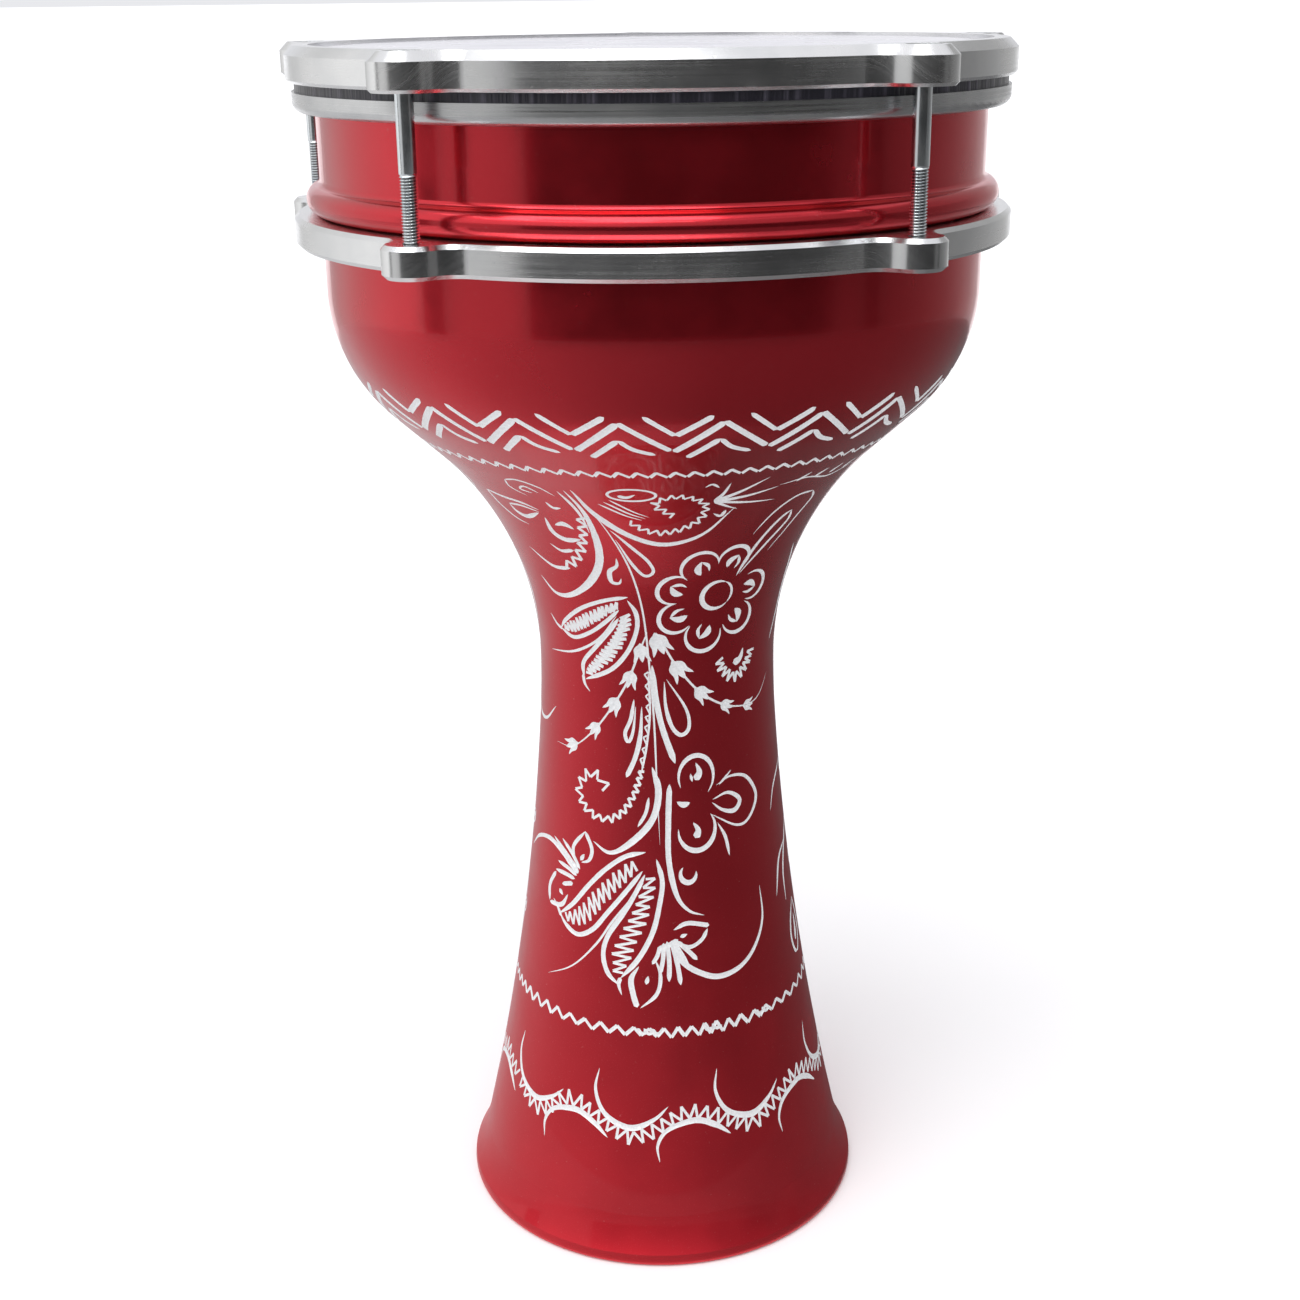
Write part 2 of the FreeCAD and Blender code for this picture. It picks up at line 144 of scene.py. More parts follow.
class Shader:
    """A material's node tree, with short calls for the nodes that this drum uses."""

    def __init__(self, name, **values):
        self.material = bpy.data.materials.new(name)
        self.material.use_nodes = True
        self.tree = self.material.node_tree
        self.surface = self.tree.nodes["Principled BSDF"]
        for key, value in values.items():
            self.surface.inputs[key.replace("_", " ")].default_value = value
        self.bumped = None

    def node(self, kind, *links, **settings):
        """A node whose inputs are the links, in order: sockets, numbers, or None to leave one."""
        made = self.tree.nodes.new(kind)
        for key, value in settings.items():
            setattr(made, key, value)
        for socket, link in zip(made.inputs, links):
            if isinstance(link, bpy.types.NodeSocket):
                self.tree.links.new(link, socket)
            elif link is not None:
                socket.default_value = link
        return made

    def math(self, operation, *links):
        return self.node("ShaderNodeMath", *links, operation=operation).outputs[0]

    def position(self):
        """The point in the drum's frame, in metres: the pieces sit at the origin."""
        return self.node("ShaderNodeTexCoord").outputs["Object"]

    def parts(self):
        return self.node("ShaderNodeSeparateXYZ", self.position()).outputs

    def length(self, x, y):
        squares = self.math("MULTIPLY", x, x), self.math("MULTIPLY", y, y)
        return self.math("SQRT", self.math("ADD", *squares))

    def noise(self, scale, detail, rough=0.55, vector=None):
        made = self.node("ShaderNodeTexNoise", vector or self.position())
        made.inputs["Scale"].default_value = scale
        made.inputs["Detail"].default_value = detail
        made.inputs["Roughness"].default_value = rough
        return made.outputs["Fac"]

    def span(self, value, low, high, new_low=0.0, new_high=1.0):
        """value from low..high to new_low..new_high, held at the ends."""
        return self.node(
            "ShaderNodeMapRange", value, low, high, new_low, new_high
        ).outputs["Result"]

    def blend(self, share, first, second):
        made = self.node("ShaderNodeMix", data_type="RGBA")
        for socket, link in ((0, share), (6, first), (7, second)):
            if isinstance(link, bpy.types.NodeSocket):
                self.tree.links.new(link, made.inputs[socket])
            else:
                made.inputs[socket].default_value = link
        return made.outputs[2]

    def turned_lines(self, fineness):
        """Noise drawn out round the drum's axis, as a lathe or a polishing belt leaves it."""
        x, y, z = self.parts()
        level = self.math("MULTIPLY", self.math("ADD", z, self.length(x, y)), fineness)
        vector = self.node("ShaderNodeCombineXYZ", self.math("MULTIPLY", x, 12.0),
                           self.math("MULTIPLY", y, 12.0), level).outputs[0]
        return self.noise(1.0, 3.0, 0.6, vector)

    def bump(self, height, depth, strength):
        """Adds a bump of depth in metres, on top of those before it."""
        made = self.node("ShaderNodeBump", strength, depth)
        self.tree.links.new(height, made.inputs["Height"])
        if self.bumped:
            self.tree.links.new(self.bumped, made.inputs["Normal"])
        self.bumped = made.outputs[0]
        self.tree.links.new(self.bumped, self.surface.inputs["Normal"])

    def set(self, socket, link):
        self.tree.links.new(link, self.surface.inputs[socket])

    def tint(self, cloud, first, second):
        """Base colour between first and second, by a noise's middle values."""
        self.set("Base Color", self.blend(self.span(cloud, 0.3, 0.7), first, second))

    def polish(self, cloud, low, high):
        """Roughness between low and high, by a noise's middle values."""
        self.set("Roughness", self.span(cloud, 0.3, 0.7, low, high))


def grey(level, warmth=0.0):
    """A colour of that level, a little red where warmth is above 0 and blue below."""
    return (level * (1 + warmth), level, level * (1 - warmth), 1)


def red_lacquer():
    """Deep red lacquer over bright metal: clear gloss on top, a little flake under it."""
    s = Shader("red_lacquer", Metallic=0.95, Roughness=0.34, Coat_Weight=0.42,
               Coat_Roughness=0.045, Coat_IOR=1.5, Specular_IOR_Level=0.5)
    cloud = s.noise(14.0, 3.0)
    red = s.blend(s.span(cloud, 0.3, 0.7), (0.58, 0.021, 0.033, 1), (0.65, 0.028, 0.043, 1))
    flake = s.noise(2600.0, 1.0)
    red = s.blend(s.span(flake, 0.62, 0.75, 0.0, 0.35), red, (0.80, 0.07, 0.09, 1))
    dust = s.span(s.noise(900.0, 2.0), 0.70, 0.78, 0.0, 0.25)
    s.set("Base Color", s.blend(dust, red, (0.75, 0.30, 0.30, 1)))
    handled = s.span(s.parts()[2], 0.02, 0.28, 0.30, 0.0)
    s.set("Roughness", s.math("ADD", handled, s.span(s.noise(60.0, 4.0), 0.3, 0.7, 0.18, 0.28)))
    s.bump(s.noise(170.0, 2.0), 0.00006, 0.5)
    return s.material


def bare_metal():
    """Aluminium laid bare by the graver: bright, with the tool's chatter across the cut."""
    s = Shader("engraved_aluminium", Metallic=0.2, Roughness=0.5)
    chatter = s.noise(1500.0, 3.0, 0.7)
    tone = s.span(chatter, 0.3, 0.75)
    s.set("Base Color", s.blend(tone, grey(0.64, -0.01), grey(0.80, -0.01)))
    s.polish(s.noise(400.0, 3.0), 0.38, 0.62)
    s.bump(chatter, 0.0001, 0.6)
    return s.material


def cast_aluminium():
    """The rings: cast, then turned and belt polished, with small pores and handling marks."""
    s = Shader("cast_aluminium", Metallic=1.0, Roughness=0.3)
    lines = s.turned_lines(2600.0)
    cloud = s.noise(45.0, 4.0)
    s.tint(cloud, grey(0.80, -0.01), grey(0.91, 0.004))
    wear = s.math("ADD", s.span(cloud, 0.3, 0.75, 0.19, 0.28), s.span(lines, 0.3, 0.7, -0.02, 0.05))
    s.set("Roughness", wear)
    s.bump(lines, 0.000006, 0.6)
    s.bump(s.span(s.noise(1100.0, 2.0), 0.24, 0.34), 0.00003, 0.4)
    s.bump(s.noise(90.0, 2.0), 0.0001, 0.35)
    return s.material


def rolled_aluminium():
    """The flesh hoop: rolled sheet, duller than the rings."""
    s = Shader("rolled_aluminium", Metallic=1.0, Roughness=0.36)
    lines = s.turned_lines(1800.0)
    cloud = s.noise(70.0, 5.0)
    s.tint(cloud, grey(0.60, -0.012), grey(0.74))
    s.polish(lines, 0.24, 0.34)
    s.bump(lines, 0.000006, 0.6)
    s.bump(s.noise(120.0, 3.0), 0.0001, 0.3)
    return s.material


def resin_with_painted_shade():
    """The hoop's resin, with the skirt's crimps as upright ribs; near-black, partly painted shade
    of the recess.
    """
    s = Shader("resin_with_painted_shade", Roughness=0.32, Specular_IOR_Level=0.6)
    x, y, _ = s.parts()
    angle = s.math("ARCTAN2", y, x)
    ribs = s.node("ShaderNodeCombineXYZ", s.math("MULTIPLY", angle, 26.0), 0.0, 0.0).outputs[0]
    ribs = s.noise(1.0, 3.0, 0.7, ribs)
    tone = s.span(ribs, 0.50, 0.78)
    s.set("Base Color", s.blend(tone, (0.012, 0.011, 0.018, 1), (0.10, 0.09, 0.12, 1)))
    s.bump(ribs, 0.0012, 0.8)
    return s.material


def drum_film():
    """The head: milky clear plastic, finely scuffed by play in its middle."""
    s = Shader("drum_film", Roughness=0.28, Transmission_Weight=0.18, IOR=1.5,
               Coat_Weight=0.25, Coat_Roughness=0.12)
    x, y, _ = s.parts()
    played = s.span(s.length(x, y), 0.03, 0.09, 1.0, 0.0)
    cloud = s.noise(30.0, 5.0)
    scuff = s.math("MULTIPLY", played, s.span(cloud, 0.35, 0.7))
    s.set("Base Color", s.blend(scuff, (0.77, 0.76, 0.81, 1), (0.62, 0.61, 0.66, 1)))
    s.set("Roughness", s.math("ADD", s.span(cloud, 0.3, 0.7, 0.20, 0.30),
                              s.math("MULTIPLY", scuff, 0.15)))
    s.bump(s.noise(700.0, 2.0), 0.000004, 0.4)
    return s.material


def zinc_steel(name, shade):
    """Zinc plate, faintly blue, with a fine grain. shade below 1 is painted shade, for thread
    grooves.
    """
    s = Shader(name, Metallic=1.0, Roughness=0.24)
    cloud = s.noise(160.0, 3.0)
    dull, bright = ((r * shade, g * shade, b * shade, 1)
                    for r, g, b in ((0.80, 0.85, 0.89), (0.90, 0.92, 0.93)))
    s.tint(cloud, dull, bright)
    s.polish(cloud, 0.18, 0.26)
    s.bump(s.noise(700.0, 1.0), 0.000002, 0.2)
    return s.material


def spun_bore():
    """The inside of the shell: bare aluminium with the spinning tool's rings, gone dull."""
    s = Shader("spun_bore", Metallic=0.9, Roughness=0.5)
    lines = s.turned_lines(420.0)
    cloud = s.noise(24.0, 5.0)
    s.tint(cloud, grey(0.36, 0.02), grey(0.52))
    s.polish(cloud, 0.42, 0.62)
    s.bump(lines, 0.0001, 0.7)
    return s.material


LACQUER = red_lacquer()
BARE = bare_metal()
CAST = cast_aluminium()
ROLLED = rolled_aluminium()
RESIN_WITH_PAINTED_SHADE = resin_with_painted_shade()
FILM = drum_film()
ZINC = zinc_steel("zinc_steel", 1.0)
ZINC_PAINTED_GROOVE_SHADE = zinc_steel("zinc_steel_painted_groove_shade", 0.5)
BORE = spun_bore()

# -------- the shell's section

WALL = 2.5
FOOT_R, FOOT_ROLL, FOOT_CURVE = 70.0, 1.8, 10.0
CREASE = (66.3, 9.6)
FLARE_CURVE, FLARE_SLOPE = 1013.0, radians(4)
NECK_R, NECK_Z, NECK_CURVE = 39.6, 200.0, 330.0
BOWL_LOW_CURVE, BOWL_HIGH_CURVE, BOWL_SLOPE = 102.0, 50.0, radians(47)
COLLAR_R, BEAD_Z, BEAD_CURVE, COVE = 102.0, 352.3, 4.3, 2.0
EDGE_Z, EDGE_CURVE = box_mm("shell")[1].z, 5.0

flare_top = (
    NECK_R + NECK_CURVE * (1 - cos(FLARE_SLOPE)),
    NECK_Z - NECK_CURVE * sin(FLARE_SLOPE),
)
bowl_low = (
    NECK_R + BOWL_LOW_CURVE * (1 - cos(BOWL_SLOPE)),
    NECK_Z + BOWL_LOW_CURVE * sin(BOWL_SLOPE),
)
bowl_high_r = COLLAR_R - BOWL_HIGH_CURVE * (1 - cos(BOWL_SLOPE))
bowl_high = (bowl_high_r, bowl_low[1] + (bowl_high_r - bowl_low[0]) / tan(BOWL_SLOPE))
bowl_top = (COLLAR_R, bowl_high[1] + BOWL_HIGH_CURVE * sin(BOWL_SLOPE))
cove_rise = sqrt((BEAD_CURVE + COVE) ** 2 - COVE**2)
cove_share = BEAD_CURVE / (BEAD_CURVE + COVE)

foot_steps = [
    (FOOT_R - FOOT_ROLL, 0, FOOT_ROLL, 1),
    (FOOT_R, FOOT_ROLL, FOOT_CURVE, 1),
    CREASE,
]
waist_steps = [
    (*CREASE, FLARE_CURVE, -1),
    (*flare_top, NECK_CURVE, -1),
    (NECK_R, NECK_Z, BOWL_LOW_CURVE, -1),
    bowl_low,
    (*bowl_high, BOWL_HIGH_CURVE, 1),
    bowl_top,
]
collar_steps = [
    bowl_top,
    (COLLAR_R, BEAD_Z - BEAD_CURVE, BEAD_CURVE, 1),
    (COLLAR_R + BEAD_CURVE, BEAD_Z, BEAD_CURVE, 1),
    (COLLAR_R + COVE * cove_share, BEAD_Z + cove_rise * cove_share, COVE, -1),
    (COLLAR_R, BEAD_Z + cove_rise),
    (COLLAR_R, EDGE_Z - EDGE_CURVE, EDGE_CURVE, 1),
    (COLLAR_R - EDGE_CURVE, EDGE_Z),
]
lean = (WALL * cos(BOWL_SLOPE), WALL * sin(BOWL_SLOPE))
bore_steps = [
    (COLLAR_R - EDGE_CURVE, EDGE_Z),
    (COLLAR_R - EDGE_CURVE, EDGE_Z - WALL, EDGE_CURVE - WALL, -1),
    (COLLAR_R - WALL, EDGE_Z - EDGE_CURVE),
    (COLLAR_R - WALL, bowl_top[1], BOWL_HIGH_CURVE - WALL, -1),
    (bowl_high[0] - lean[0], bowl_high[1] + lean[1]),
    (bowl_low[0] - lean[0], bowl_low[1] + lean[1], BOWL_LOW_CURVE + WALL, 1),
    (NECK_R - WALL, NECK_Z, NECK_CURVE + WALL, 1),
    (
        flare_top[0] - WALL * cos(FLARE_SLOPE),
        flare_top[1] - WALL * sin(FLARE_SLOPE),
        FLARE_CURVE + WALL,
        1,
    ),
    (CREASE[0] - WALL, CREASE[1] - 0.6),
    (FOOT_R - 3 * FOOT_ROLL, FOOT_ROLL, FOOT_ROLL, 1),
    (FOOT_R - 2 * FOOT_ROLL, 0),
    (FOOT_R - FOOT_ROLL, 0),
]


class Wall:
    """The waist's outer surface, by (angle from the front, distance along the section)."""

    def __init__(self, steps):
        spans = trace(steps, radians(1), 1.0)
        self.r = np.array([spans[0][0].x] + [s[1].x for s in spans])
        self.z = np.array([spans[0][0].y] + [s[1].y for s in spans])
        self.nr = np.array([spans[0][2].x] + [s[3].x for s in spans])
        self.nz = np.array([spans[0][2].y] + [s[3].y for s in spans])
        lengths = np.hypot(np.diff(self.r), np.diff(self.z))
        self.s = np.concatenate([[0], np.cumsum(lengths)])

    def along(self, z):
        return float(np.interp(z, self.z, self.s))

    def radius(self, s):
        return float(np.interp(s, self.s, self.r))

    def at(self, s):
        """Radius, height and the normal's two parts."""
        return [float(np.interp(s, self.s, v)) for v in (self.r, self.z, self.nr, self.nz)]

    def point(self, angle, s, depth):
        r, z, nr, nz = self.at(s)
        return ring_point(r - nr * depth, z - nz * depth, angle)

    def normal(self, angle, s):
        return ring_point(*self.at(s)[2:], angle)


WAIST = Wall(waist_steps)

# -------- the ornament's strokes

random.seed(11)
STROKES = []  # each is a list of (angle, distance along the section, half width)
SPACING, PATH_SPACING, EDGE_SPACING = 0.7, 0.4, 0.5  # of a stroke, a zigzag and a leaf's edge
GRAVER = 0.45  # a stroke's half width, as a share of the width that is asked for


def smooth(points, closed=False):
    """A Catmull-Rom curve through points, as 8 short runs between each two."""
    if len(points) < 3:
        return points
    p = [Vector(q) for q in points]
    before, after = (p[-1], p[0]) if closed else (2 * p[0] - p[1], 2 * p[-1] - p[-2])
    p = [before, *p, after] + ([p[1]] if closed else [])
    curve = []
    for a, b, c, d in zip(p, p[1:], p[2:], p[3:]):
        for i in range(8):
            t = i / 8
            curve.append(
                0.5 * (2 * b + (c - a) * t + (2 * a - 5 * b + 4 * c - d) * t**2
                       + (3 * b - a - 3 * c + d) * t**3)
            )
    curve.append(p[-2])
    return curve


def resample(curve, spacing):
    """The curve at even distances on the shell's surface. Returns points and the length."""
    curve = [Vector(p) for p in curve]
    gaps = [
        hypot((b.x - a.x) * WAIST.radius((a.y + b.y) / 2), b.y - a.y)
        for a, b in pairwise(curve)
    ]
    marks = np.concatenate([[0], np.cumsum(gaps)])
    count = max(2, round(marks[-1] / spacing))
    at = np.linspace(0, marks[-1], count + 1)
    xs = np.interp(at, marks, [p.x for p in curve])
    ys = np.interp(at, marks, [p.y for p in curve])
    return [Vector((x, y)) for x, y in zip(xs, ys)], float(marks[-1])


def cut(points, width, start=0.12, end=0.12, closed=False, curved=True):
    """One stroke of the graver, in (angle, distance), that swells and thins at its ends.

    start and end are the shares of its length over which it thins to nothing.
    """
    line, _ = resample(smooth(points, closed) if curved else points, SPACING)
    stroke, drift = [], random.uniform(-0.05, 0.05)
    for i, p in enumerate(line):
        t = i / (len(line) - 1)
        share = 1.0
        if start and not closed:
            share *= min(1, t / start) ** 0.6
        if end and not closed:
            share *= min(1, (1 - t) / end) ** 0.6
        drift = 0.8 * drift + random.uniform(-0.035, 0.035)
        stroke.append((p.x, p.y, max(0.03, GRAVER * width * share * (1 + drift))))
    STROKES.append(stroke)


def on_wall(points):
    """(degrees, height) to (angle, distance along the section)."""
    return [(radians(a), WAIST.along(z)) for a, z in points]


def draw(points, width, start, end):
    cut(on_wall(points), width, start, end)


def straight(points, width, start=0, end=0):
    cut(on_wall(points), width, start, end, curved=False)


def bent(root, tip, sag, width, start, end):
    """A stroke from root to tip, with its middle moved by sag."""
    middle = ((root[0] + tip[0]) / 2 + sag[0], (root[1] + tip[1]) / 2 + sag[1])
    draw([root, middle, tip], width, start, end)


def spot(degrees, height, turn=0.0):
    """A place to draw at in surface millimetres: x to the right and y up, then turned."""
    angle, along = radians(degrees), WAIST.along(height)
    c, s = cos(radians(turn)), sin(radians(turn))

    def place(points):
        found = []
        for x, y in points:
            across, up = c * x - s * y, s * x + c * y
            found.append((angle + across / WAIST.radius(along + up), along + up))
        return found

    return place


def arc(radius, first, last, count, squeeze=1.0, y=0.0):
    """Points on an arc round (0, y), in degrees from the x axis."""
    turns = [radians(first + (last - first) * i / (count - 1)) for i in range(count)]
    return [(radius * cos(a), y + radius * squeeze * sin(a)) for a in turns]


def zigzag(points, pitch, height, width, grow=0.0, slant=0.5):
    """Teeth along a path in (degrees, height). grow enlarges them towards its end.

    slant is the share of the pitch that goes to a tooth's first side.
    """
    line, length = resample(smooth(on_wall(points)), PATH_SPACING)
    ticks, at, up = [], 0.0, 1
    while at < length:
        t = at / length
        size = 1 + grow * t
        i = min(len(line) - 2, int(t * (len(line) - 1)))
        here, ahead = line[i], line[i + 1]
        r = WAIST.radius(here.y)
        way = Vector(((ahead.x - here.x) * r, ahead.y - here.y)).normalized()
        off = up * height * size / 2 * random.uniform(0.85, 1.15)
        ticks.append((here.x - way.y * off / r, here.y + way.x * off))
        share = slant if up > 0 else 1 - slant
        at += pitch * size * share * random.uniform(0.9, 1.1)
        up = -up
    for a, b in pairwise(ticks):
        cut([a, b], width, 0, 0, curved=False)


def petal_loop(place, length, width, line):
    """A pointed petal outline from its root at the origin, along y, with a drop inside."""
    w, h = width / 2, length
    cut(place([(0, 0), (-w * 0.8, h * 0.35), (-w, h * 0.68), (-w * 0.45, h * 0.95), (0, h)]),
        line, 0.3, 0.05)
    cut(place([(0, h), (w * 0.5, h * 0.93), (w, h * 0.66), (w * 0.8, h * 0.33), (0, 0)]),
        line, 0.05, 0.3)
    cut(place([(0, h * 0.3), (-w * 0.1, h * 0.55), (0, h * 0.8)]), line * 1.7, 0.7, 0.2)


def bell(place, size):
    """A closed bell flower that hangs along -y, with three pointed tips."""
    cut(place([(0, size * 0.44), (0, 0.02), (0, -size * 0.52)]), size * 0.44, 0.35, 0.6)
    for side in (-1, 1):
        cut(place([(side * size * 0.06, size * 0.34), (side * size * 0.2, size * 0.08),
                   (side * size * 0.24, -size * 0.2), (side * size * 0.4, -size * 0.5)]),
            size * 0.3, 0.3, 0.7)


def sprig(stem, bells, width):
    """A thin stem with bells at (degrees, height, turn, size)."""
    draw(stem, width, 0.1, 0.5)
    for degrees, height, turn, size in bells:
        bell(spot(degrees, height, turn), size)


def comma(place, length, width):
    """A fat curled drop, thick at the root."""
    cut(place([(0, 0), (length * 0.25, length * 0.45), (length * 0.05, length)]),
        width, 0.12, 0.85)


def leaf(edge_one, edge_two, width, teeth, tooth, tip):
    """A long leaf between two edges drawn from its root to its tip, with teeth between them."""
    draw(edge_one, width, 0.1, 0.12)
    draw(edge_two, width, 0.1, 0.12)
    draw(tip, width * 0.8, 0.1, 0.7)
    one, _ = resample(smooth(on_wall(edge_one)), EDGE_SPACING)
    two, _ = resample(smooth(on_wall(edge_two)), EDGE_SPACING)
    marks = []
    for k in range(teeth + 1):
        t = 0.07 + 0.84 * (k + (0.4 if k % 2 else 0)) / teeth
        a = one[round(min(t, 0.95) * (len(one) - 1))]
        b = two[round(min(t, 0.95) * (len(two) - 1))]
        share = (0.25 if k % 2 else 0.75) + random.uniform(-0.03, 0.03)
        marks.append(tuple(a.lerp(b, share)))
    for a, b in pairwise(marks):
        cut([a, b], tooth, 0, 0, curved=False)


# -------- bands round the shell


def shoulder_band():
    """A bold zigzag with a chevron over each valley and a bent caret under each peak."""
    for k in range(10):
        at = 18 * k - 89
        lift = random.uniform(-0.3, 0.3)
        for ends, width, start, end in (
            ([(at + 0.2, 289.2), (at + 8.6, 298.9)], 2.5, 0.03, 0.05),
            ([(at + 8.6, 299.1), (at + 17.8, 289.6)], 2.0, 0.04, 0.04),
            ([(at - 5.2, 301.2), (at + 0.4, 295 + lift)], 1.7, 0.12, 0.04),
            ([(at + 0.4, 295 + lift), (at + 6.6, 301)], 2.2, 0.05, 0.08),
            ([(at + 8.4, 293.4), (at + 2.8, 287 + lift)], 2.3, 0.12, 0.06),
        ):
            straight(ends, width, start, end)
        draw([(at + 8.4, 293.4), (at + 11, 290.2), (at + 15, 288.2)], 1.8, 0.1, 0.12)


def saw_band():
    """A fine running saw line under the zigzag."""
    teeth = 45
    step = 180 / teeth
    for k in range(teeth):
        at = step * k - 90
        straight([(at, 281.1), (at + step * 0.66, 279.2)], 1.2)
        straight([(at + step * 0.66, 279.2), (at + step, 281.1)], 1.5)


def border_band():
    """A plain zigzag under the panel, closer and taller in places, as the hand went."""
    at, up, ticks = -90.0, True, []
    while at < 89:
        tall = 1.55 + 0.25 * sin(radians(at * 5)) + random.uniform(-0.25, 0.25)
        ticks.append((at, 81.0 + (tall if up else -tall)))
        at += 3.0 - 0.5 * sin(radians(at * 4 + 60)) + random.uniform(-0.3, 0.3)
        up = not up
    ticks.append((90.0, ticks[0][1]))
    for a, b in pairwise(ticks):
        straight([a, b], random.uniform(1.1, 1.5))
    for at in (-11, -8.6, -5.5, 14, 17.4, 37, 40):
        draw([(at, 82.4), (at + 1.6, 80.6), (at + 4, 81.2)], 1.3, 0.1, 0.2)


def scallop_band():
    """Crescents that hang and stand in turn, with a zigzag woven between them."""
    hung = (-52, -13, 30, 77)
    stood = (-33, 9, 54, 103)
    for at in hung:
        draw([(at - 12, 66.4), (at - 13, 58.6), (at - 9, 50.8), (at, 47.1), (at + 8, 50.4),
              (at + 13, 55)], 2.5, 0.6, 0.35)
    for at in stood:
        draw([(at - 12, 35.6), (at - 12.6, 41.6), (at - 9, 47), (at, 49.6), (at + 7, 47),
              (at + 12.4, 42.6)], 2.3, 0.55, 0.2)
    path = []
    for low, high in zip(hung, stood):
        path += [(low - 10, 48.6), (low, 43.6), (low + 9, 47.4), (high - 6, 51.6), (high, 53)]
    path.append((hung[0] + 168, 49))
    zigzag(path, 3.9, 5.0, 1.0)


# -------- the flower panel


def top_left():
    draw([(-37.5, 262.6), (-43, 264.4), (-50, 265), (-57, 266)], 1.2, 0.3, 0.1)
    draw([(-57, 266), (-56.4, 261), (-52, 257), (-46.5, 255.4)], 1.1, 0.05, 0.5)
    draw([(-38, 261.8), (-44, 263), (-49.6, 262.6)], 1.0, 0.4, 0.1)
    draw([(-49.6, 262.6), (-48.6, 259.8), (-44.6, 258.8), (-38.4, 261.4)], 1.9, 0.3, 0.3)
    draw([(-28.6, 269.6), (-32, 272.6), (-37, 274.4), (-41.5, 273.6)], 0.9, 0.4, 0.1)
    draw([(-41.5, 273.6), (-42, 270.6), (-38, 268)], 0.8, 0.1, 0.6)
    draw([(-33, 270), (-36.4, 272), (-38.6, 270.6), (-35.4, 269.6)], 0.9, 0.3, 0.3)
    draw([(-25, 272.5), (-22, 262), (-22, 247), (-28, 237.5), (-39, 231), (-49, 230), (-56, 235)],
         3.0, 0.45, 0.4)
    draw([(-27, 271.8), (-24, 264), (-23, 256)], 1.4, 0.3, 0.6)
    zigzag([(-24, 262), (-25.8, 254), (-29.6, 247.4), (-34.6, 242.8), (-40, 241.4)], 4.0, 3.0, 1.2,
           slant=0.4)
    draw([(-36, 241), (-45, 240.6), (-55, 245.5)], 1.5, 0.1, 0.7)
    draw([(-37, 260), (-37, 254.6), (-33, 252.2), (-27, 253)], 2.2, 0.35, 0.2)
    draw([(-34.5, 257.5), (-31, 258.4), (-28, 256.8)], 2.6, 0.5, 0.5)
    draw([(-33, 266.6), (-31.6, 264.6), (-29, 264.8)], 1.5, 0.4, 0.3)
    draw([(-41, 249.4), (-37, 247.4), (-31.5, 248.4)], 1.5, 0.6, 0.15)


def top_middle():
    draw([(-23, 273), (-20, 264.8), (-13, 257.6), (-3, 253), (6, 253.2), (14, 257), (20, 265.4)],
         2.6, 0.3, 0.72)
    cut(spot(-8, 272)(arc(7.2, 0, 360, 13, 0.46)[:-1]), 1.0, closed=True)
    comma(spot(-11.5, 271.6, -78), 5.5, 2.0)
    for k in range(3):
        draw([(-17.2 + 1.6 * k, 268 + 0.9 * k), (-11 + 1.2 * k, 264 + 0.8 * k),
              (-6 + 1.0 * k, 262 + 0.6 * k)], 0.8, 0.2, 0.5)
    zigzag([(2.5, 263.4), (-2.6, 268.4), (3, 271.2), (10.6, 268), (10.6, 261.6), (4, 257.6),
            (-4, 257.4), (-10, 261.4)], 3.0, 2.3, 0.85, slant=0.35)
    draw([(9.5, 274.5), (11, 275.6), (13, 274)], 1.1, 0.4, 0.3)
    draw([(14, 263.6), (16.4, 262.4), (17.4, 264.6)], 1.4, 0.5, 0.2)


def top_right():
    for tip, width in (((15.4, 275.6), 1.5), ((25, 276.2), 1.9), ((30, 271.6), 1.7),
                       ((31.6, 266.2), 1.3), ((20.6, 264.6), 1.2)):
        bent((13, 268.4), tip, (0.6, -0.5), width, 0.08, 0.75)
    draw([(30, 272), (38, 273), (48, 271), (58, 273)], 0.8, 0.2, 0.3)
    for at in (35, 41, 47, 53):
        draw([(at, 272.2), (at + 3, 275)], 1.6, 0.2, 0.6)
    draw([(30, 238), (35, 249), (40, 257), (43.4, 259.6)], 1.5, 0.2, 0.1)
    draw([(43.4, 259.6), (44.4, 255), (38.5, 247), (31, 238.4)], 1.2, 0.1, 0.4)
    draw([(31, 253), (35.6, 261), (41, 265.4), (47.6, 265.6)], 1.1, 0.5, 0.1)
    draw([(47.6, 265.6), (50.6, 261.4), (47, 252), (42, 245)], 1.1, 0.1, 0.6)
    draw([(-16, 257.6), (-10.4, 251.6), (-5, 246.2), (-3.2, 242.2), (-6.6, 240.8), (-11, 245.6),
          (-15, 254)], 1.2, 0.2, 0.3)
    draw([(-16, 247), (-16.4, 244), (-19.4, 241.8), (-19.4, 238), (-16.4, 237.6), (-15.4, 239.4)],
         1.9, 0.4, 0.4)


def big_flower():
    centre = (23, 232)
    place = spot(*centre)
    cut(place(arc(5.2, 62, 318, 12)), 1.9, 0.35, 0.35)
    cut(place(arc(5.2, -42, 66, 6)), 1.0, 0.3, 0.3)
    petals = ((5, 13.2, 5.4), (76, 14.0, 5.4), (123, 14.4, 6.0), (167, 15.0, 5.3),
              (210, 14.6, 5.5), (258, 14.6, 6.0), (312, 13.4, 5.7))
    for turn, out, size in petals:
        petal = spot(*centre, turn - 90)
        cut(petal(arc(size, 205, -25, 11, y=out)), 1.6, 0.35, 0.35)
        cut(petal([(-1.2, out - 3.4), (-1.1, out - 0.6), (1.2, out + 1.7)]), 2.5, 0.35, 0.5)
        cut(petal([(1.7, out - 3.6), (2.3, out - 1.2), (1.2, out + 1.5)]), 1.3, 0.5, 0.3)


